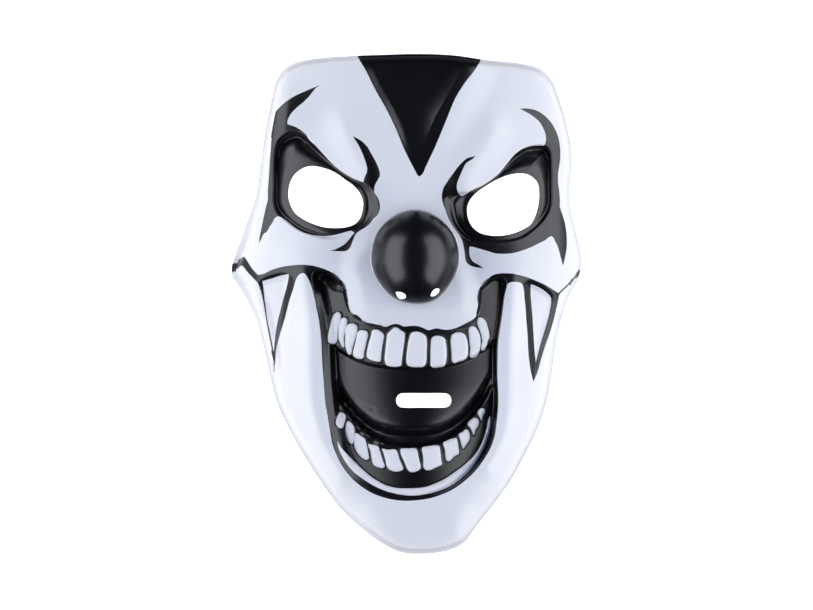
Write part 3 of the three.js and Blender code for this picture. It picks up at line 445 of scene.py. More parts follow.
def rise(a, b, v):
    """0 up to a, 1 from b on, and smooth between."""
    s = np.clip((v - a) / (b - a), 0, 1)
    return s * s * (3 - 2 * s)


def bell(d, reach):
    """1 where d is 0, falling off evenly on both sides."""
    return np.exp(-((d / reach) ** 2))


def mix(a, b, s):
    return a + (b - a) * s


# Surface
outline = spline(OUTLINE, 1.6, 180)
muzzle_line = spline(MUZZLE, 1.5, 180)
mouth_line = spline(MOUTH_EDGE + MUZZLE_EDGE, 1.5, 180)
mouth_edge = spline(MOUTH_EDGE, 1.5, closed=False)
left_socket = spline(LEFT_SOCKET, 1.2, 180)
right_socket = spline(RIGHT_SOCKET, 1.2, 180)
left_eye = spline(LEFT_EYE, 0.7, 180)
right_eye = spline(RIGHT_EYE, 0.7, 180)
panel_sides = [spline(PANEL_LEFT, 1.2, closed=False), spline(PANEL_RIGHT, 1.2, closed=False)]
panel_line = np.concatenate([panel_sides[0], panel_sides[1][1:]])
left_hollow = spline(LEFT_HOLLOW, 2, 180)
right_hollow = spline(RIGHT_HOLLOW, 2, 180)
brows = [spline(LEFT_BROW, 2, closed=False), spline(RIGHT_BROW, 2, closed=False)]
folds = [spline(LEFT_FOLD, 2, closed=False), spline(RIGHT_FOLD, 2, closed=False)]
lip_line = spline(LIP, 0.8)
plate_crease = spline(PLATE_CREASE, 1, closed=False)
teeth = [spline(t, 0.6, 180) for t in UPPER_TEETH + LOWER_TEETH]


def lip_at(x):
    """Width of the rim's lip, which is wider at the left ear."""
    return mix(1.2, 3.2, rise(-72, -80, x))


nose_turn = np.radians(np.arange(0, 360, 1.6))


def nose_radii():
    """Reach of the nose in each direction of nose_turn, evened out over some 7 degrees."""
    away = spline(NOSE, 0.5, 180) - NOSE_MIDDLE
    turn = np.arctan2(away[:, 1], away[:, 0])
    order = np.argsort(turn)
    reach = np.hypot(away[:, 0], away[:, 1])[order]
    reach = np.interp(nose_turn, turn[order], reach, period=2 * math.pi)
    gap = np.abs((nose_turn[:, None] - nose_turn[None, :] + math.pi) % (2 * math.pi) - math.pi)
    weight = bell(gap, math.radians(10))
    return (weight * reach).sum(1) / weight.sum(1)


nose_reach = nose_radii()
nose_line = NOSE_MIDDLE + nose_reach[:, None] * np.stack([np.cos(nose_turn), np.sin(nose_turn)], 1)


def nose_share(q):
    """0 in the middle of the nose, 1 at its edge."""
    away = q - NOSE_MIDDLE
    reach = np.interp(np.arctan2(away[:, 1], away[:, 0]), nose_turn, nose_reach, period=2 * math.pi)
    return np.hypot(away[:, 0], away[:, 1]) / reach


def shoulder_at(inset, y):
    """Share of the full height at a distance in from the wall's foot: a steep wall, then a round edge."""
    reach = 9 - 2 * rise(92, 112, y) + 6 * rise(62, 25, y) - 7 * rise(-85, -115, y)
    round_part = 0.14 - 0.07 * rise(92, 112, y) + 0.12 * rise(62, 25, y) - 0.08 * rise(-85, -115, y)
    wall = (1 - np.maximum(0, 1 - inset / STEEP) ** 3) ** 0.4
    left = 1 - np.minimum(1, inset / reach)
    return (1 - round_part) * wall + round_part * np.sqrt(1 - left ** 2)


def socket_at(socket, eye, gentle, wall_from, tiles):
    """An eye socket: the lid falls ever more steeply from the hole to a groove under a steep wall."""
    inner = np.maximum(0, depth_tiles(socket, tiles, 30))
    from_eye = np.maximum(0, -depth_tiles(eye, tiles, 30))
    width = np.maximum(1e-6, from_eye + inner)
    share = from_eye / width
    lid = -LID_DROP * (1 - np.exp(-width / 6)) * np.minimum(1, share / 0.82) ** 2.6 - 0.3
    side = mix(-SOCKET_DROP, 0, rise(wall_from, 1, share))
    wall = np.maximum(rise(2.6, 0, inner), rise(0.8, 1, share))
    deep = mix(lid * (1 - wall), side, gentle)
    return np.where(inner > 0, deep, 0)


def arch(y):
    """Share of the full height along the middle line, which falls towards the forehead and the chin."""
    return 1 - 0.3 * (np.abs(y - 5) / 125) ** 2.2


def mouth_floor(q, from_edge, lip_in, tiles):
    """The sunk grin: gums over and under a plate that bulges, a trough, and the line of the lower lip."""
    x, y = q[:, 0], q[:, 1]
    upper = y - (-22.3 + 10 * np.abs((x - 3) / 37) ** 3)
    lower = y - (-77.5 + 22 * np.abs((x - 3) / 36) ** 2.6)
    low = rise(-33, -60, y)
    even = mix(34, 17, low)
    fall = np.where(x > 5, 0.46, mix(0.577, 0.42, low))
    z = CROWN * arch(y) - MOUTH_DROP - fall * (np.sqrt((x - 5) ** 2 + even ** 2) - even)
    z += GUM_STEP * rise(-11, -8.5, upper)
    z -= TROUGH_DROP * bell(lower - 10.3, 4.2) * rise(2, 7.8, from_edge)
    z += LOW_GUM_RISE * (1 - rise(5.5, 8, lower))
    z -= CREASE_DROP * bell(distance(plate_crease, tiles, 4, False), 0.9)
    for lump_x, lump_y in LUMPS:
        z += LUMP_RISE * bell(np.hypot(x - lump_x, y - lump_y), 1.9)
    return z + LIP_RISE * rise(-0.6, 1.2, lip_in)


def with_mouth(z, q, in_muzzle, tiles, detail):
    """The cheeks slope down to the mouth's floor on the left, and drop steeply on the right."""
    x, y = q[:, 0], q[:, 1]
    mouth = inside_tiles(mouth_line, tiles)
    from_edge = distance(mouth_edge, tiles, 8, False)
    share = mix(rise(3.6, 7.2, from_edge), rise(0, 5.5, from_edge), rise(4, 13, y))
    share = mix(share, rise(0, 2.6, from_edge), rise(-25, 25, x))
    share *= rise(0, 1.6, -in_muzzle)
    z = z - mouth * 0.62 * np.minimum(4.8, from_edge) * rise(0, -25, x)
    lip_in = depth_tiles(lip_line, tiles, 3) if detail else np.full(len(q), -3.0)
    return np.where(mouth, mix(z, mouth_floor(q, from_edge, lip_in, tiles), share), z)


def with_nose(z, q):
    """A ball that stands on a steep foot, lower at its sides."""
    share = nose_share(q)
    foot = 0.9 + 0.05 * np.minimum(1, np.abs(q[:, 0] - NOSE_MIDDLE[0]) / 20)
    ball = np.sqrt(1 - (foot * np.minimum(1, share)) ** 2) * (1 - rise(0.98, 1, share))
    return mix(z, NOSE_TOP, ball)


def panel_drop(y, tiles):
    """The sunk forehead panel, with a steeper side on the left."""
    dip = 1.0
    for line, wide in zip(panel_sides, (4.5, 9.5)):
        dip = dip * (1 - (1 - distance(line, tiles, wide, False) / wide) ** 2)
    return (PANEL_DROP + PANEL_TOP_DROP * rise(70, 98, y)) * dip * inside_tiles(panel_line, tiles)


def height(q, detail=True):
    """Height of the outer surface over the floor, in mm."""
    tiles = Tiles(q)
    q = tiles.q
    x, y = q[:, 0], q[:, 1]
    shoulder = shoulder_at(np.maximum(0, depth_tiles(outline, tiles, 24) - lip_at(x)), y)
    z = CROWN * (arch(y) - 0.34 * (np.abs(x - 4) / 80) ** 2.3)
    for line in brows:
        z += BROW_RISE * bell(distance(line, tiles, 20, False), 8)
    for bump_x, bump_y, across, along, tall in BUMPS:
        z += tall * bell(np.hypot((x - bump_x) / across, (y - bump_y) / along), 1)
    for line in (left_hollow, right_hollow):
        z -= HOLLOW_DROP * rise(-1, 5, depth_tiles(line, tiles, 6))
    z -= TEMPLE_DROP * rise(-1, 18, x - 10 - 0.44 * (y - 68)) * rise(66, 84, y)
    z -= panel_drop(y, tiles)
    for line in folds:
        z += FOLD_RISE * bell(distance(line, tiles, 13, False), 5)
    in_muzzle = depth_tiles(muzzle_line, tiles, 12)
    z += MUZZLE_RISE * rise(-2, 10, in_muzzle) * (1 - rise(25, 45, y))
    z -= CHIN_DROP * rise(15, 40, np.abs(x - 6)) * rise(-92, -104, y)
    z = with_mouth(z, q, in_muzzle, tiles, detail)
    z += socket_at(left_socket, left_eye, rise(-26, -18, x), 0.25, tiles)
    z += socket_at(right_socket, right_eye, rise(30, 22, x), 0.5, tiles)
    z = with_nose(z, q)
    if detail:
        for line in teeth:
            t = np.clip((depth_tiles(line, tiles, 2) + 0.15) / 1.5, 0, 1)
            z += TOOTH_RISE * np.sqrt(1 - (1 - t) ** 2)
    return tiles.back(WALL + np.maximum(0, z) * shoulder)


def normals(q, detail=True, step=0.12):
    """Directions square to the surface, from its height at small steps to both sides."""
    dx = height(q + (step, 0), detail) - height(q - (step, 0), detail)
    dy = height(q + (0, step), detail) - height(q - (0, step), detail)
    n = np.stack([-dx / (2 * step), -dy / (2 * step), np.ones(len(q))], 1)
    return n / np.linalg.norm(n, axis=1)[:, None]


# Rim: columns stand round it, closer together at the strap holes and where paint crosses it.
FINEST = 0.2
COLUMN_GAP = 1.3
STRIPE_SPOTS = [(-87.2, 16), (88, 18), (-68.4, -32)]
PANEL_SPOTS = [(-24, 124), (38, 122.6)]


def rim_columns():
    fine = spline(OUTLINE, FINEST, 180)
    close = [(spot, 0.3) for spot in STRIPE_SPOTS]
    close += [(spot, 0.5) for spot in PANEL_SPOTS + STRAP_HOLES]
    gaps = np.full(len(fine), COLUMN_GAP)
    for (spot_x, spot_y), gap in close:
        away = np.hypot(fine[:, 0] - spot_x, fine[:, 1] - spot_y)
        gaps = np.minimum(gaps, mix(gap, COLUMN_GAP, rise(4, 10, away)))
    gaps *= FINE
    along = np.cumsum(FINEST / gaps)
    count = round(along[-1])
    at = (np.arange(count) + 0.5) * along[-1] / count
    return np.stack([np.interp(at, along, fine[:, 0]), np.interp(at, along, fine[:, 1])], 1)


rim = rim_columns()
centre = np.array(NOSE_MIDDLE)
STEPS = [0.05, 0.09, 0.13, 0.17, 0.21, 0.25, 0.3, 0.35, 0.41, 0.48, 0.56, 0.66, 0.77, 0.88, 1]


def at_inset(value):
    """Point on each ray from the nose where the shoulder has come in by value."""
    low = np.full(len(rim), 0.6)
    high = np.full(len(rim), 1.0)
    for _ in range(18):
        middle = (low + high) / 2
        q = centre + (rim - centre) * middle[:, None]
        deep = depth(outline, q, 40) - lip_at(q[:, 0]) > value
        low = np.where(deep, middle, low)
        high = np.where(deep, high, middle)
    return centre + (rim - centre) * ((low + high) / 2)[:, None]


lip_foot = at_inset(0.0)
wall_insets = np.linspace(0, BAND, 400)
wall_shares = np.array([shoulder_at(wall_insets, y) for y in rim[:, 1]])


def ring_at(step):
    """The ring at a share of the band's height."""
    return at_inset(np.array([np.interp(step * shares[-1], shares, wall_insets) for shares in wall_shares]))


wall_rings = [ring_at(step) for step in STEPS]
band_edge = wall_rings[-1]

# Points of the face
hole_loops = [
    spline(LEFT_EYE, 0.75 * FINE, 180), spline(RIGHT_EYE, 0.75 * FINE, 180),
    spline(LEFT_NOSTRIL, 0.45 * FINE, 180), spline(RIGHT_NOSTRIL, 0.45 * FINE, 180),
    spline(SLOT, 0.6 * FINE, 180),
]
black_areas = [spline(t, 0.8 * FINE, 48) for t in (FOREHEAD, LEFT_EYE_PAINT, RIGHT_EYE_PAINT, GRIN)]
band_areas = [black_areas[0], black_areas[3]]     # only these two run down the side walls
black_areas.append(nose_line)
white_areas = [spline(t, 0.8 * FINE, 48) for t in (LEFT_WEDGE, RIGHT_WEDGE, LIP)]
white_areas += [spline(t, 0.55 * FINE, 180) for t in UPPER_TEETH + LOWER_TEETH]
ROW = 0.866                  # from row to row in a grid of even triangles


def runs_left(line):
    """Whether a closed line runs anticlockwise."""
    turn = np.roll(line, -1, axis=0)
    return (line[:, 0] * turn[:, 1] - turn[:, 0] * line[:, 1]).sum() > 0


def shifted(line, away):
    """The line moved sideways, outwards where away is above zero."""
    ahead = np.roll(line, -1, axis=0) - np.roll(line, 1, axis=0)
    side = np.stack([ahead[:, 1], -ahead[:, 0]], 1)
    side /= np.maximum(1e-9, np.linalg.norm(side, axis=1))[:, None]
    return line + side * (away if runs_left(line) else -away)


def hex_grid(step):
    """Points of even triangles over the whole mask."""
    xs = np.arange(-90, 91, step)
    ys = np.arange(-127, 128, step * ROW)
    gx, gy = np.meshgrid(xs, ys)
    gx[1::2] += step / 2
    return np.stack([gx.ravel(), gy.ravel()], 1)


class Sieve:
    """Takes points one set after another, and drops each that lies too near one already taken."""

    def __init__(self):
        self.cells = {}
        self.taken = []

    def add(self, points, gap):
        """A gap of 0 takes them all."""
        for x, y in points.tolist():
            cx, cy = math.floor(x), math.floor(y)
            keys = ((cx + i, cy + j) for i in (-1, 0, 1) for j in (-1, 0, 1)) if gap else ()
            near = (p for key in keys for p in self.cells.get(key, ()))
            if not any((px - x) ** 2 + (py - y) ** 2 < gap * gap for px, py in near):
                self.cells.setdefault((cx, cy), []).append((x, y))
                self.taken.append((x, y))


def triangulate(loops, lines, sets):
    """Triangles inside the first loop and outside the others, which keep their points in order."""
    sieve = Sieve()
    edges = []
    for loop in loops:
        base = len(sieve.taken)
        sieve.add(loop, 0)
        edges += [(base + i, base + (i + 1) % len(loop)) for i in range(len(loop))]
    for line in lines:
        kept = np.flatnonzero(depth(loops[0], line, 2) > 0.4).tolist()
        place = {i: len(sieve.taken) + n for n, i in enumerate(kept)}
        sieve.add(line[kept], 0)
        following = [(i + 1) % len(line) for i in kept]
        edges += [(place[i], place[j]) for i, j in zip(kept, following) if j in place]
    for points, gap in sets:
        ok = depth(loops[0], points, 2) > 0.45 * gap
        for loop in loops[1:]:
            ok &= depth(loop, points, 2) < -0.4 * gap
        sieve.add(points[ok], gap)
    flat = [Vector(p) for p in sieve.taken]
    verts, _, faces, origins, _, _ = delaunay_2d_cdt(flat, edges, [], 0, 1e-6, True)
    q = np.array([tuple(v) for v in verts])
    place = {old: new for new, olds in enumerate(origins) for old in olds}
    tri = np.array([f for f in faces if len(f) == 3])
    middle = q[tri].mean(1)
    keep = inside(loops[0], middle)
    for loop in loops[1:]:
        keep &= ~inside(loop, middle)
    tri = tri[keep]
    a, b, c = q[tri[:, 0]], q[tri[:, 1]], q[tri[:, 2]]
    area = (b[:, 0] - a[:, 0]) * (c[:, 1] - a[:, 1]) - (c[:, 0] - a[:, 0]) * (b[:, 1] - a[:, 1])
    tri[area < 0] = tri[area < 0][:, ::-1]
    rings = []
    base = 0
    for loop in loops:
        rings.append(np.array([place[base + i] for i in range(len(loop))]))
        base += len(loop)
    return q, tri, rings


def follow(lines, aways, gap):
    """Sets of points beside each line, at each distance outwards."""
    return [(shifted(line, away), gap) for line in lines for away in aways]


# Fine points where the surface bends, coarse ones where it is even
grid_x = np.arange(-90, 91.0)
grid_y = np.arange(-128, 129.0)


def bends(detail):
    """How sharply the surface bends in each square of a 1 mm grid."""
    gx, gy = np.meshgrid(grid_x, grid_y)
    z = height(np.stack([gx.ravel(), gy.ravel()], 1), detail).reshape(gx.shape)
    dy, dx = np.gradient(z)
    steep = 1 / (1 + dx * dx + dy * dy)
    bend = np.zeros_like(z)
    for way in ((0, 1), (1, 0), (1, 1), (1, -1)):
        turn = np.abs(np.roll(z, way, (0, 1)) + np.roll(z, (-way[0], -way[1]), (0, 1)) - 2 * z)
        bend = np.maximum(bend, turn * steep)
    for axis in (0, 1):
        bend = np.maximum(bend, np.maximum(np.roll(bend, 1, axis), np.roll(bend, -1, axis)))
    return bend


def where_bent(q, bend, least):
    i = np.clip(np.round(q[:, 0] - grid_x[0]).astype(int), 0, len(grid_x) - 1)
    j = np.clip(np.round(q[:, 1] - grid_y[0]).astype(int), 0, len(grid_y) - 1)
    return q[bend[j, i] > least]


coarse = hex_grid(1.4 * FINE)
fine = where_bent(hex_grid(0.67 * FINE), bends(True), 0.045)
fine = fine[depth(outline, fine, 3) > 1.5]

teeth_lines = white_areas[3:]
sets = []
sets += follow([nose_line], (-0.42, -0.9, -1.6, -2.4, -3.4, 0.4, 1.0), 0.35 * FINE)
socket_lines = [spline(LEFT_SOCKET, 0.55, 180), spline(RIGHT_SOCKET, 0.55, 180)]
sets += follow(socket_lines, (0.2, -0.3, -0.8, -1.3, -1.9, -2.6), 0.42 * FINE)
mouth_fine = spline(MOUTH_EDGE + MUZZLE_EDGE, 0.6, 180)
sets += follow([mouth_fine], (0.1, -0.7, -1.4, -2.1, -2.9, -3.8, -4.7, -5.6, -6.5), 0.6 * FINE)
sets += follow([band_edge], (-0.6, -1.4, -2.4), 0.8 * FINE)
sets += follow(teeth_lines, (0.2, -0.35, -0.8), 0.28 * FINE)
sets += follow(hole_loops, (0.6, 1.3), 0.4 * FINE)
sets += [(fine, 0.6 * FINE), (coarse, 1.3 * FINE)]
face_q, face_tri, face_rings = triangulate([band_edge] + hole_loops, black_areas + white_areas, sets)

inner_coarse = hex_grid(2.6 * FINE)
inner_fine = where_bent(hex_grid(1.4 * FINE), bends(False), 0.06)
inner_fine = inner_fine[depth(outline, inner_fine, 3) > 1.5]
back_sets = follow(socket_lines, (0.6, 0, -0.6, -1.2, -1.8, -2.6, -3.6), 0.6 * FINE)
back_sets += follow([mouth_fine], (0.5, -0.3, -1.1, -1.9, -2.8, -3.8, -4.8, -5.8, -6.8), 0.6 * FINE)
back_sets += follow([nose_line], (0.7, 0, -0.7, -1.6, -2.8), 0.6 * FINE)
back_sets += follow([band_edge], (-0.6, -1.3, -2.2), 0.7 * FINE)
back_sets += [(inner_fine, 1.0 * FINE), (inner_coarse, 1.9 * FINE)]
back_q, back_tri, back_rings = triangulate([band_edge] + hole_loops, [], back_sets)

# Mesh
verts = []
vert_normals = []
faces = []
face_slots = []
face_smooth = []
total = 0


def add_verts(points, directions):
    global total
    verts.append(points)
    vert_normals.append(directions)
    total += len(points)
    return np.arange(total - len(points), total)


def add_faces(triangles, slots, smooth):
    faces.append(triangles)
    face_slots.append(np.broadcast_to(slots, len(triangles)))
    face_smooth.append(np.full(len(triangles), smooth))


def strip(a, b):
    """Triangles between two rings; they face up where b lies inside a."""
    a2, b2 = np.roll(a, -1), np.roll(b, -1)
    return np.concatenate([np.stack([a, a2, b2], 1), np.stack([a, b2, b], 1)])


def lifted(q, z):
    return np.column_stack([q, np.broadcast_to(z, len(q))])


def painted(q, areas):
    """Whether each point is black: inside a black area and outside the white ones in it."""
    black = np.zeros(len(q), bool)
    for area in areas:
        black |= inside(area, q)
    for area in white_areas:
        black &= ~inside(area, q)
    return black


def band_painted(q):
    """Paint that runs down the side wall, a little wider at the ears, where the stripe is thin."""
    black = np.zeros(len(q), bool)
    for area, wider in zip(band_areas, (0, 0.35)):
        black |= depth(area, q, 1) > np.where(q[:, 1] > 0, -wider, 0)
    return black


up = np.array([0.0, 0.0, 1.0])
WHITE, BLACK, INSIDE, EDGE = range(4)

# Face: the triangulated part, then the steep band down to the lip.
face_ids = add_verts(lifted(face_q, height(face_q)), normals(face_q))
add_faces(face_ids[face_tri], np.where(painted(face_q[face_tri].mean(1), black_areas), BLACK, WHITE), True)

ring_ids = []
ring_points = []
ring_normals = []
for ring in wall_rings[:-1]:
    ring_points.append(lifted(ring, height(ring)))
    ring_normals.append(normals(ring, step=0.01))
    ring_ids.append(add_verts(ring_points[-1], ring_normals[-1]))
ring_points.append(lifted(band_edge, height(band_edge)))
ring_normals.append(normals(band_edge))
ring_ids.append(face_ids[face_rings[0]])
foot_normals = ring_normals[0] * (1, 1, 0) + (0, 0, 0.35)
foot_normals /= np.linalg.norm(foot_normals, axis=1)[:, None]
lip_width = np.linalg.norm(lip_foot - rim, axis=1)
foot_z = WALL + LIP_SLANT * lip_width
foot_ids = add_verts(lifted(lip_foot, foot_z), foot_normals)

# Back: the same surface, one sheet thickness behind.
back_front = lifted(back_q, height(back_q, False))
back_normals = normals(back_q, False)
back_points = back_front - WALL * back_normals
for ring, loop in zip(back_rings[1:], hole_loops):
    back_points[ring] = lifted(loop, height(loop) - WALL)
back_points[back_rings[0]] = ring_points[-1] - WALL * ring_normals[-1]
back_points[:, 2] = np.maximum(back_points[:, 2], WALL)

# Where the back comes too near the front between its points, they are pushed down.
LEAST_WALL = 0.5
for _ in range(4):
    middle = back_points[back_tri].mean(1)
    short = LEAST_WALL - (height(middle[:, :2], False) - middle[:, 2])
    push = np.zeros(len(back_points))
    np.maximum.at(push, back_tri[short > 0].ravel(), np.repeat(short[short > 0] + 0.1, 3))
    push[np.concatenate(back_rings)] = 0
    back_points[:, 2] -= push
back_ids = add_verts(back_points, -back_normals)
add_faces(back_ids[back_tri][:, ::-1], INSIDE, True)

behind_rings = []
back_ring_ids = []
for points, directions in zip(ring_points[:-1], ring_normals[:-1]):
    behind = points - WALL * directions
    behind[:, 2] = np.maximum(behind[:, 2], 0.4 * WALL + 0.3 * points[:, 2])
    behind_rings.append(behind)
    back_ring_ids.append(add_verts(behind, -directions))
back_ring_ids.append(back_ids[back_rings[0]])
inner_foot_ids = add_verts(lifted(behind_rings[0][:, :2], 0), -ring_normals[0])

# Steep band, without the cells where a strap hole goes through. Its edge is drawn out to a circle.
outer = np.array([foot_ids] + ring_ids)
inner = np.array([inner_foot_ids] + back_ring_ids)
rows, columns = outer.shape
all_points = np.concatenate(verts)
cut = np.zeros((rows - 1, columns), bool)
moved = []
for hole_x, hole_y in STRAP_HOLES:
    grid = all_points[outer]
    level = grid[:, :, 1] - hole_y
    tall = grid[:, :, 2] - STRAP_HOLE_HEIGHT
    nodes = (grid[:, :, 0] * hole_x > 0) & (np.hypot(level, tall) < STRAP_HOLE_RADIUS)
    touched = nodes[:-1] | nodes[1:]
    cells = touched | np.roll(touched, -1, axis=1)
    cut |= cells
    for j, k in zip(*np.where(cells)):
        for row in (j, j + 1):
            for column in (k, (k + 1) % columns):
                if not nodes[row, column]:
                    moved.append((row, column, hole_y, level[row, column], tall[row, column]))
for row, column, hole_y, dy, dz in moved:
    share = STRAP_HOLE_RADIUS / math.hypot(dy, dz)
    for rings in (outer, inner):
        all_points[rings[row, column], 1:] = hole_y + dy * share, STRAP_HOLE_HEIGHT + dz * share
verts = [all_points]
vert_normals = [np.concatenate(vert_normals)]


def wall_cells(rings, row, keep):
    """Two triangles for each cell that is kept between a ring and the next."""
    following = (keep + 1) % columns
    a, b = rings[row, keep], rings[row, following]
    c, d = rings[row + 1, following], rings[row + 1, keep]
    return np.concatenate([np.stack([a, b, c], 1), np.stack([a, c, d], 1)])


def band_slots(tri):
    spots = np.concatenate(verts)[tri].mean(1)[:, :2]
    return np.where(band_painted(spots), BLACK, WHITE)


for row in range(rows - 1):
    keep = np.where(~cut[row])[0]
    tri = wall_cells(outer, row, keep)
    add_faces(tri, band_slots(tri), True)
    add_faces(wall_cells(inner, row, keep)[:, [0, 2, 1]], INSIDE, True)

# Insides of the strap holes, from each cut cell's edge on the front to the same edge on the back.
tunnel = []
for j, k in zip(*np.where(cut)):
    k2 = (k + 1) % columns
    sides = [
        (j > 0 and cut[j - 1, k], (j, k), (j, k2)),
        (cut[j, k2], (j, k2), (j + 1, k2)),
        (j + 2 < rows and cut[j + 1, k], (j + 1, k2), (j + 1, k)),
        (cut[j, k - 1], (j + 1, k), (j, k)),
    ]
    for open_side, start, end in sides:
        if not open_side:
            tunnel.append((outer[start], outer[end], inner[end]))
            tunnel.append((outer[start], inner[end], inner[start]))
if tunnel:
    add_faces(np.array(tunnel), EDGE, False)

# Lip: flat top, rounded outer edge, underside.
to_middle = centre - rim
to_middle /= np.linalg.norm(to_middle, axis=1)[:, None]
blend_ring = lip_foot + (rim - lip_foot) * np.minimum(0.5, 0.8 / lip_width)[:, None]
outward = np.column_stack([-to_middle, np.zeros(columns)])
lip_normals = up + LIP_SLANT * outward
lip_inner = add_verts(lifted(lip_foot, foot_z), foot_normals * 0.5 + up * 0.5)
blend_z = WALL + LIP_SLANT * np.linalg.norm(blend_ring - rim, axis=1)
lip_blend = add_verts(lifted(blend_ring, blend_z), lip_normals)
lip_outer = add_verts(lifted(rim + to_middle * RIM_ROUND, WALL + 0.05), lip_normals)
rim_high = add_verts(lifted(rim, WALL - RIM_ROUND), outward)
rim_low = add_verts(lifted(rim, 0.0), outward)
for tri in (strip(lip_outer, lip_blend), strip(lip_blend, lip_inner)):
    add_faces(tri, band_slots(tri), True)
add_faces(strip(rim_high, lip_outer), WHITE, True)
add_faces(strip(rim_low, rim_high), EDGE, True)
add_faces(strip(rim_low, inner_foot_ids)[:, ::-1], EDGE, False)

# Cut edges of the eyes, nostrils and slot.
for front, back in zip(face_rings[1:], back_rings[1:]):
    tri = strip(face_ids[front], back_ids[back])
    add_faces(tri if runs_left(face_q[front]) else tri[:, ::-1], EDGE, False)

points = np.concatenate(verts)
directions = np.concatenate(vert_normals)
directions /= np.linalg.norm(directions, axis=1)[:, None]
triangles = np.concatenate(faces)
slots = np.concatenate(face_slots)
smooth = np.concatenate(face_smooth)

# The two copies of the lip's foot are one vertex in the mesh.
same = np.arange(len(points))
same[lip_inner] = foot_ids
mesh_tri = same[triangles]
used, mesh_tri = np.unique(mesh_tri, return_inverse=True)
mesh_tri = mesh_tri.reshape(-1, 3)

# From the picture's plane to true positions, then to metres in the CAD's frame.
aim = np.array(CAMERA_AIM)
true = points.copy()
true[:, :2] = aim + (points[:, :2] - aim) * (1 - points[:, 2:] / CAMERA_HEIGHT)
box_middle = (true[:, :2].min(0) + true[:, :2].max(0)) / 2
cad_middle = (np.array(cad_low[:2]) + np.array(cad_high[:2])) / 2
true[:, :2] -= box_middle
true /= 1000
true += (*cad_middle, cad_low[2])

mesh = bpy.data.meshes.new("mask")
kept = true[used]
mesh.vertices.add(len(kept))
mesh.vertices.foreach_set("co", kept.astype(np.float32).ravel())
mesh.loops.add(mesh_tri.size)
mesh.loops.foreach_set("vertex_index", mesh_tri.astype(np.int32).ravel())
mesh.polygons.add(len(mesh_tri))
mesh.polygons.foreach_set("loop_start", np.arange(0, mesh_tri.size, 3, dtype=np.int32))
mesh.polygons.foreach_set("material_index", slots.astype(np.int32))
mesh.update(calc_edges=True)
mesh.validate()

corner = true[triangles]
flat = np.cross(corner[:, 1] - corner[:, 0], corner[:, 2] - corner[:, 0])
flat /= np.maximum(1e-15, np.linalg.norm(flat, axis=1))[:, None]
loop_normals = np.where(smooth[:, None, None], directions[triangles], flat[:, None, :])
mesh.normals_split_custom_set(loop_normals.reshape(-1, 3).tolist())


def add_object(name, data):
    new = bpy.data.objects.new(name, data)
    bpy.context.scene.collection.objects.link(new)
    return new


mask = add_object("mask", mesh)


# Materials
def put(node, values):
    for name, value in values.items():
        node.inputs[name].default_value = value


def plastic(name, color, vary, rough, rough_vary, bump, grain, specular=0.5, tint=(1, 1, 1)):
    """Moulded plastic: slightly uneven colour and gloss, with the faint ripple of a formed sheet."""
    material = bpy.data.materials.new(name)
    material.use_nodes = True
    nodes, links = material.node_tree.nodes, material.node_tree.links
    shader = nodes["Principled BSDF"]
    put(shader, {"Specular IOR Level": specular, "Specular Tint": (*tint, 1)})
    where = nodes.new("ShaderNodeTexCoord").outputs["Object"]

    def noise(scale, levels):
        clouds = nodes.new("ShaderNodeTexNoise")
        put(clouds, {"Scale": scale, "Detail": levels})
        links.new(where, clouds.inputs["Vector"])
        return clouds.outputs["Fac"]

    def spread(source, low, high):
        level = nodes.new("ShaderNodeMapRange")
        put(level, {"From Min": 0.15, "From Max": 0.85, "To Min": low, "To Max": high})
        links.new(source, level.inputs["Value"])
        return level.outputs["Result"]

    shade = nodes.new("ShaderNodeMix")
    shade.data_type = "RGBA"
    put(shade, {"A": (*color, 1), "B": (*[c * (1 - vary) for c in color], 1)})
    links.new(spread(noise(28, 3), 0, 1), shade.inputs["Factor"])
    links.new(shade.outputs["Result"], shader.inputs["Base Color"])
    links.new(spread(noise(45, 2), rough - rough_vary, rough + rough_vary), shader.inputs["Roughness"])
    ripple = nodes.new("ShaderNodeBump")
    put(ripple, {"Strength": bump, "Distance": 0.001})
    links.new(noise(grain, 3), ripple.inputs["Height"])
    links.new(ripple.outputs["Normal"], shader.inputs["Normal"])
    return material


# In the order of WHITE, BLACK, INSIDE and EDGE
for material in (
    plastic("white_plastic", (0.83, 0.84, 0.868), 0.01, 0.30, 0.02, 0.04, 260),
    plastic("black_paint", (0.0015, 0.0016, 0.0028), 0.15, 0.29, 0.03, 0.04, 300,
            specular=0.86, tint=(0.93, 0.95, 1)),
    plastic("inside_plastic", (0.78, 0.80, 0.86), 0.04, 0.48, 0.05, 0.12, 200),
    plastic("cut_edge", (0.82, 0.84, 0.92), 0.03, 0.5, 0.05, 0.1, 400),
):
    mesh.materials.append(material)
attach(mask, "root")
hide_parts("mask_shell")

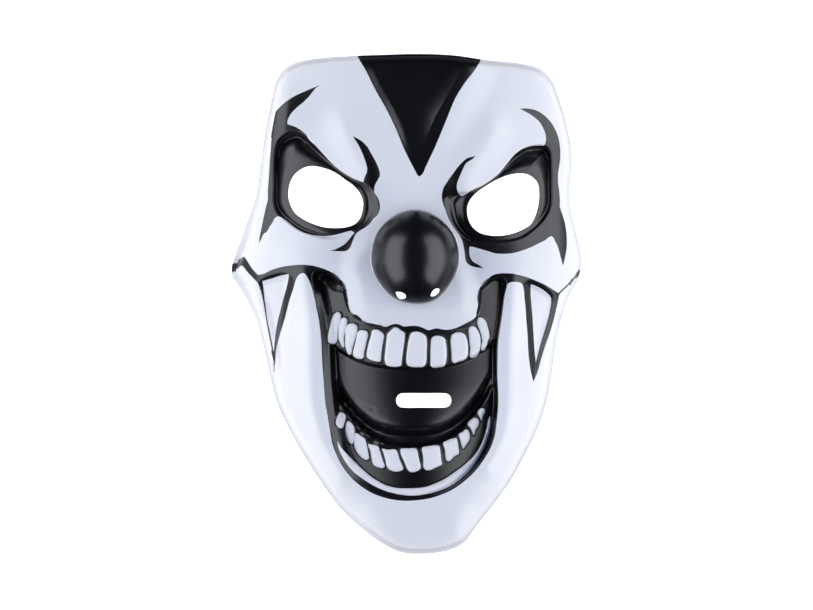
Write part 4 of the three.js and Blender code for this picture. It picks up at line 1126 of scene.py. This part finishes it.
# Floor, lights and camera
def sheet_of_paper(name, half_x, half_y, z, base, glow):
    """A flat sheet on the stage that glows evenly."""
    sheet_mesh = bpy.data.meshes.new(name)
    corners = [(-half_x, -half_y, z), (half_x, -half_y, z), (half_x, half_y, z), (-half_x, half_y, z)]
    sheet_mesh.from_pydata(corners, [], [(0, 1, 2, 3)])
    sheet = add_object(name, sheet_mesh)
    paper = bpy.data.materials.new(name + "_paper")
    paper.use_nodes = True
    surface = paper.node_tree.nodes["Principled BSDF"]
    put(surface, {"Base Color": (base, base, base, 1), "Roughness": 0.9})
    put(surface, {"Emission Color": (1, 1, 1, 1), "Emission Strength": glow})
    sheet_mesh.materials.append(paper)
    return sheet


# The floor's own shine is too strong in black paint, so a dimmer sheet under it is what the paint shows.
floor = sheet_of_paper("floor", 4, 4, 0, 0.9, 0.95)
floor.visible_glossy = False
sheen = sheet_of_paper("floor_sheen", 1.5, 0.12, -0.004, 0, 0.42)
sheen.visible_camera = False
sheen.visible_diffuse = False
sheen.visible_shadow = False


def soft_light(name, place, size, power, color=(1, 1, 1)):
    """A wide rectangular light that faces the middle of the mask."""
    data = bpy.data.lights.new(name, "AREA")
    data.shape = "RECTANGLE"
    data.size, data.size_y = size
    data.energy = power
    data.color = color
    light = add_object(name, data)
    light.location = place
    aim_at = Vector((0, 0, 0.03)) - Vector(place)
    light.rotation_euler = aim_at.to_track_quat("-Z", "Y").to_euler()
    return light


for name, side in (("left_soft", -1), ("right_soft", 1)):
    soft_light(name, (side * 1.05, 0.0, 0.58), (2.5, 1.2), 18.5)
fill = soft_light("top_fill", (0, 0, 3.3), (3.0, 3.0), 34, (0.43, 0.57, 1))
fill.visible_glossy = False

world = bpy.data.worlds.new("studio")
bpy.context.scene.world = world
world.use_nodes = True
world.node_tree.nodes["Background"].inputs["Color"].default_value = (0.03, 0.03, 0.035, 1)

camera_data = bpy.data.cameras.new("camera")
camera = add_object("camera", camera_data)
camera.location = (*((aim - box_middle) / 1000 + cad_middle), CAMERA_HEIGHT / 1000)
camera_data.sensor_width = SENSOR
camera_data.lens = SENSOR * CAMERA_HEIGHT / PICTURE_WIDTH
camera_data.clip_end = 50
bpy.context.scene.camera = camera
bpy.context.scene.view_settings.view_transform = "Standard"
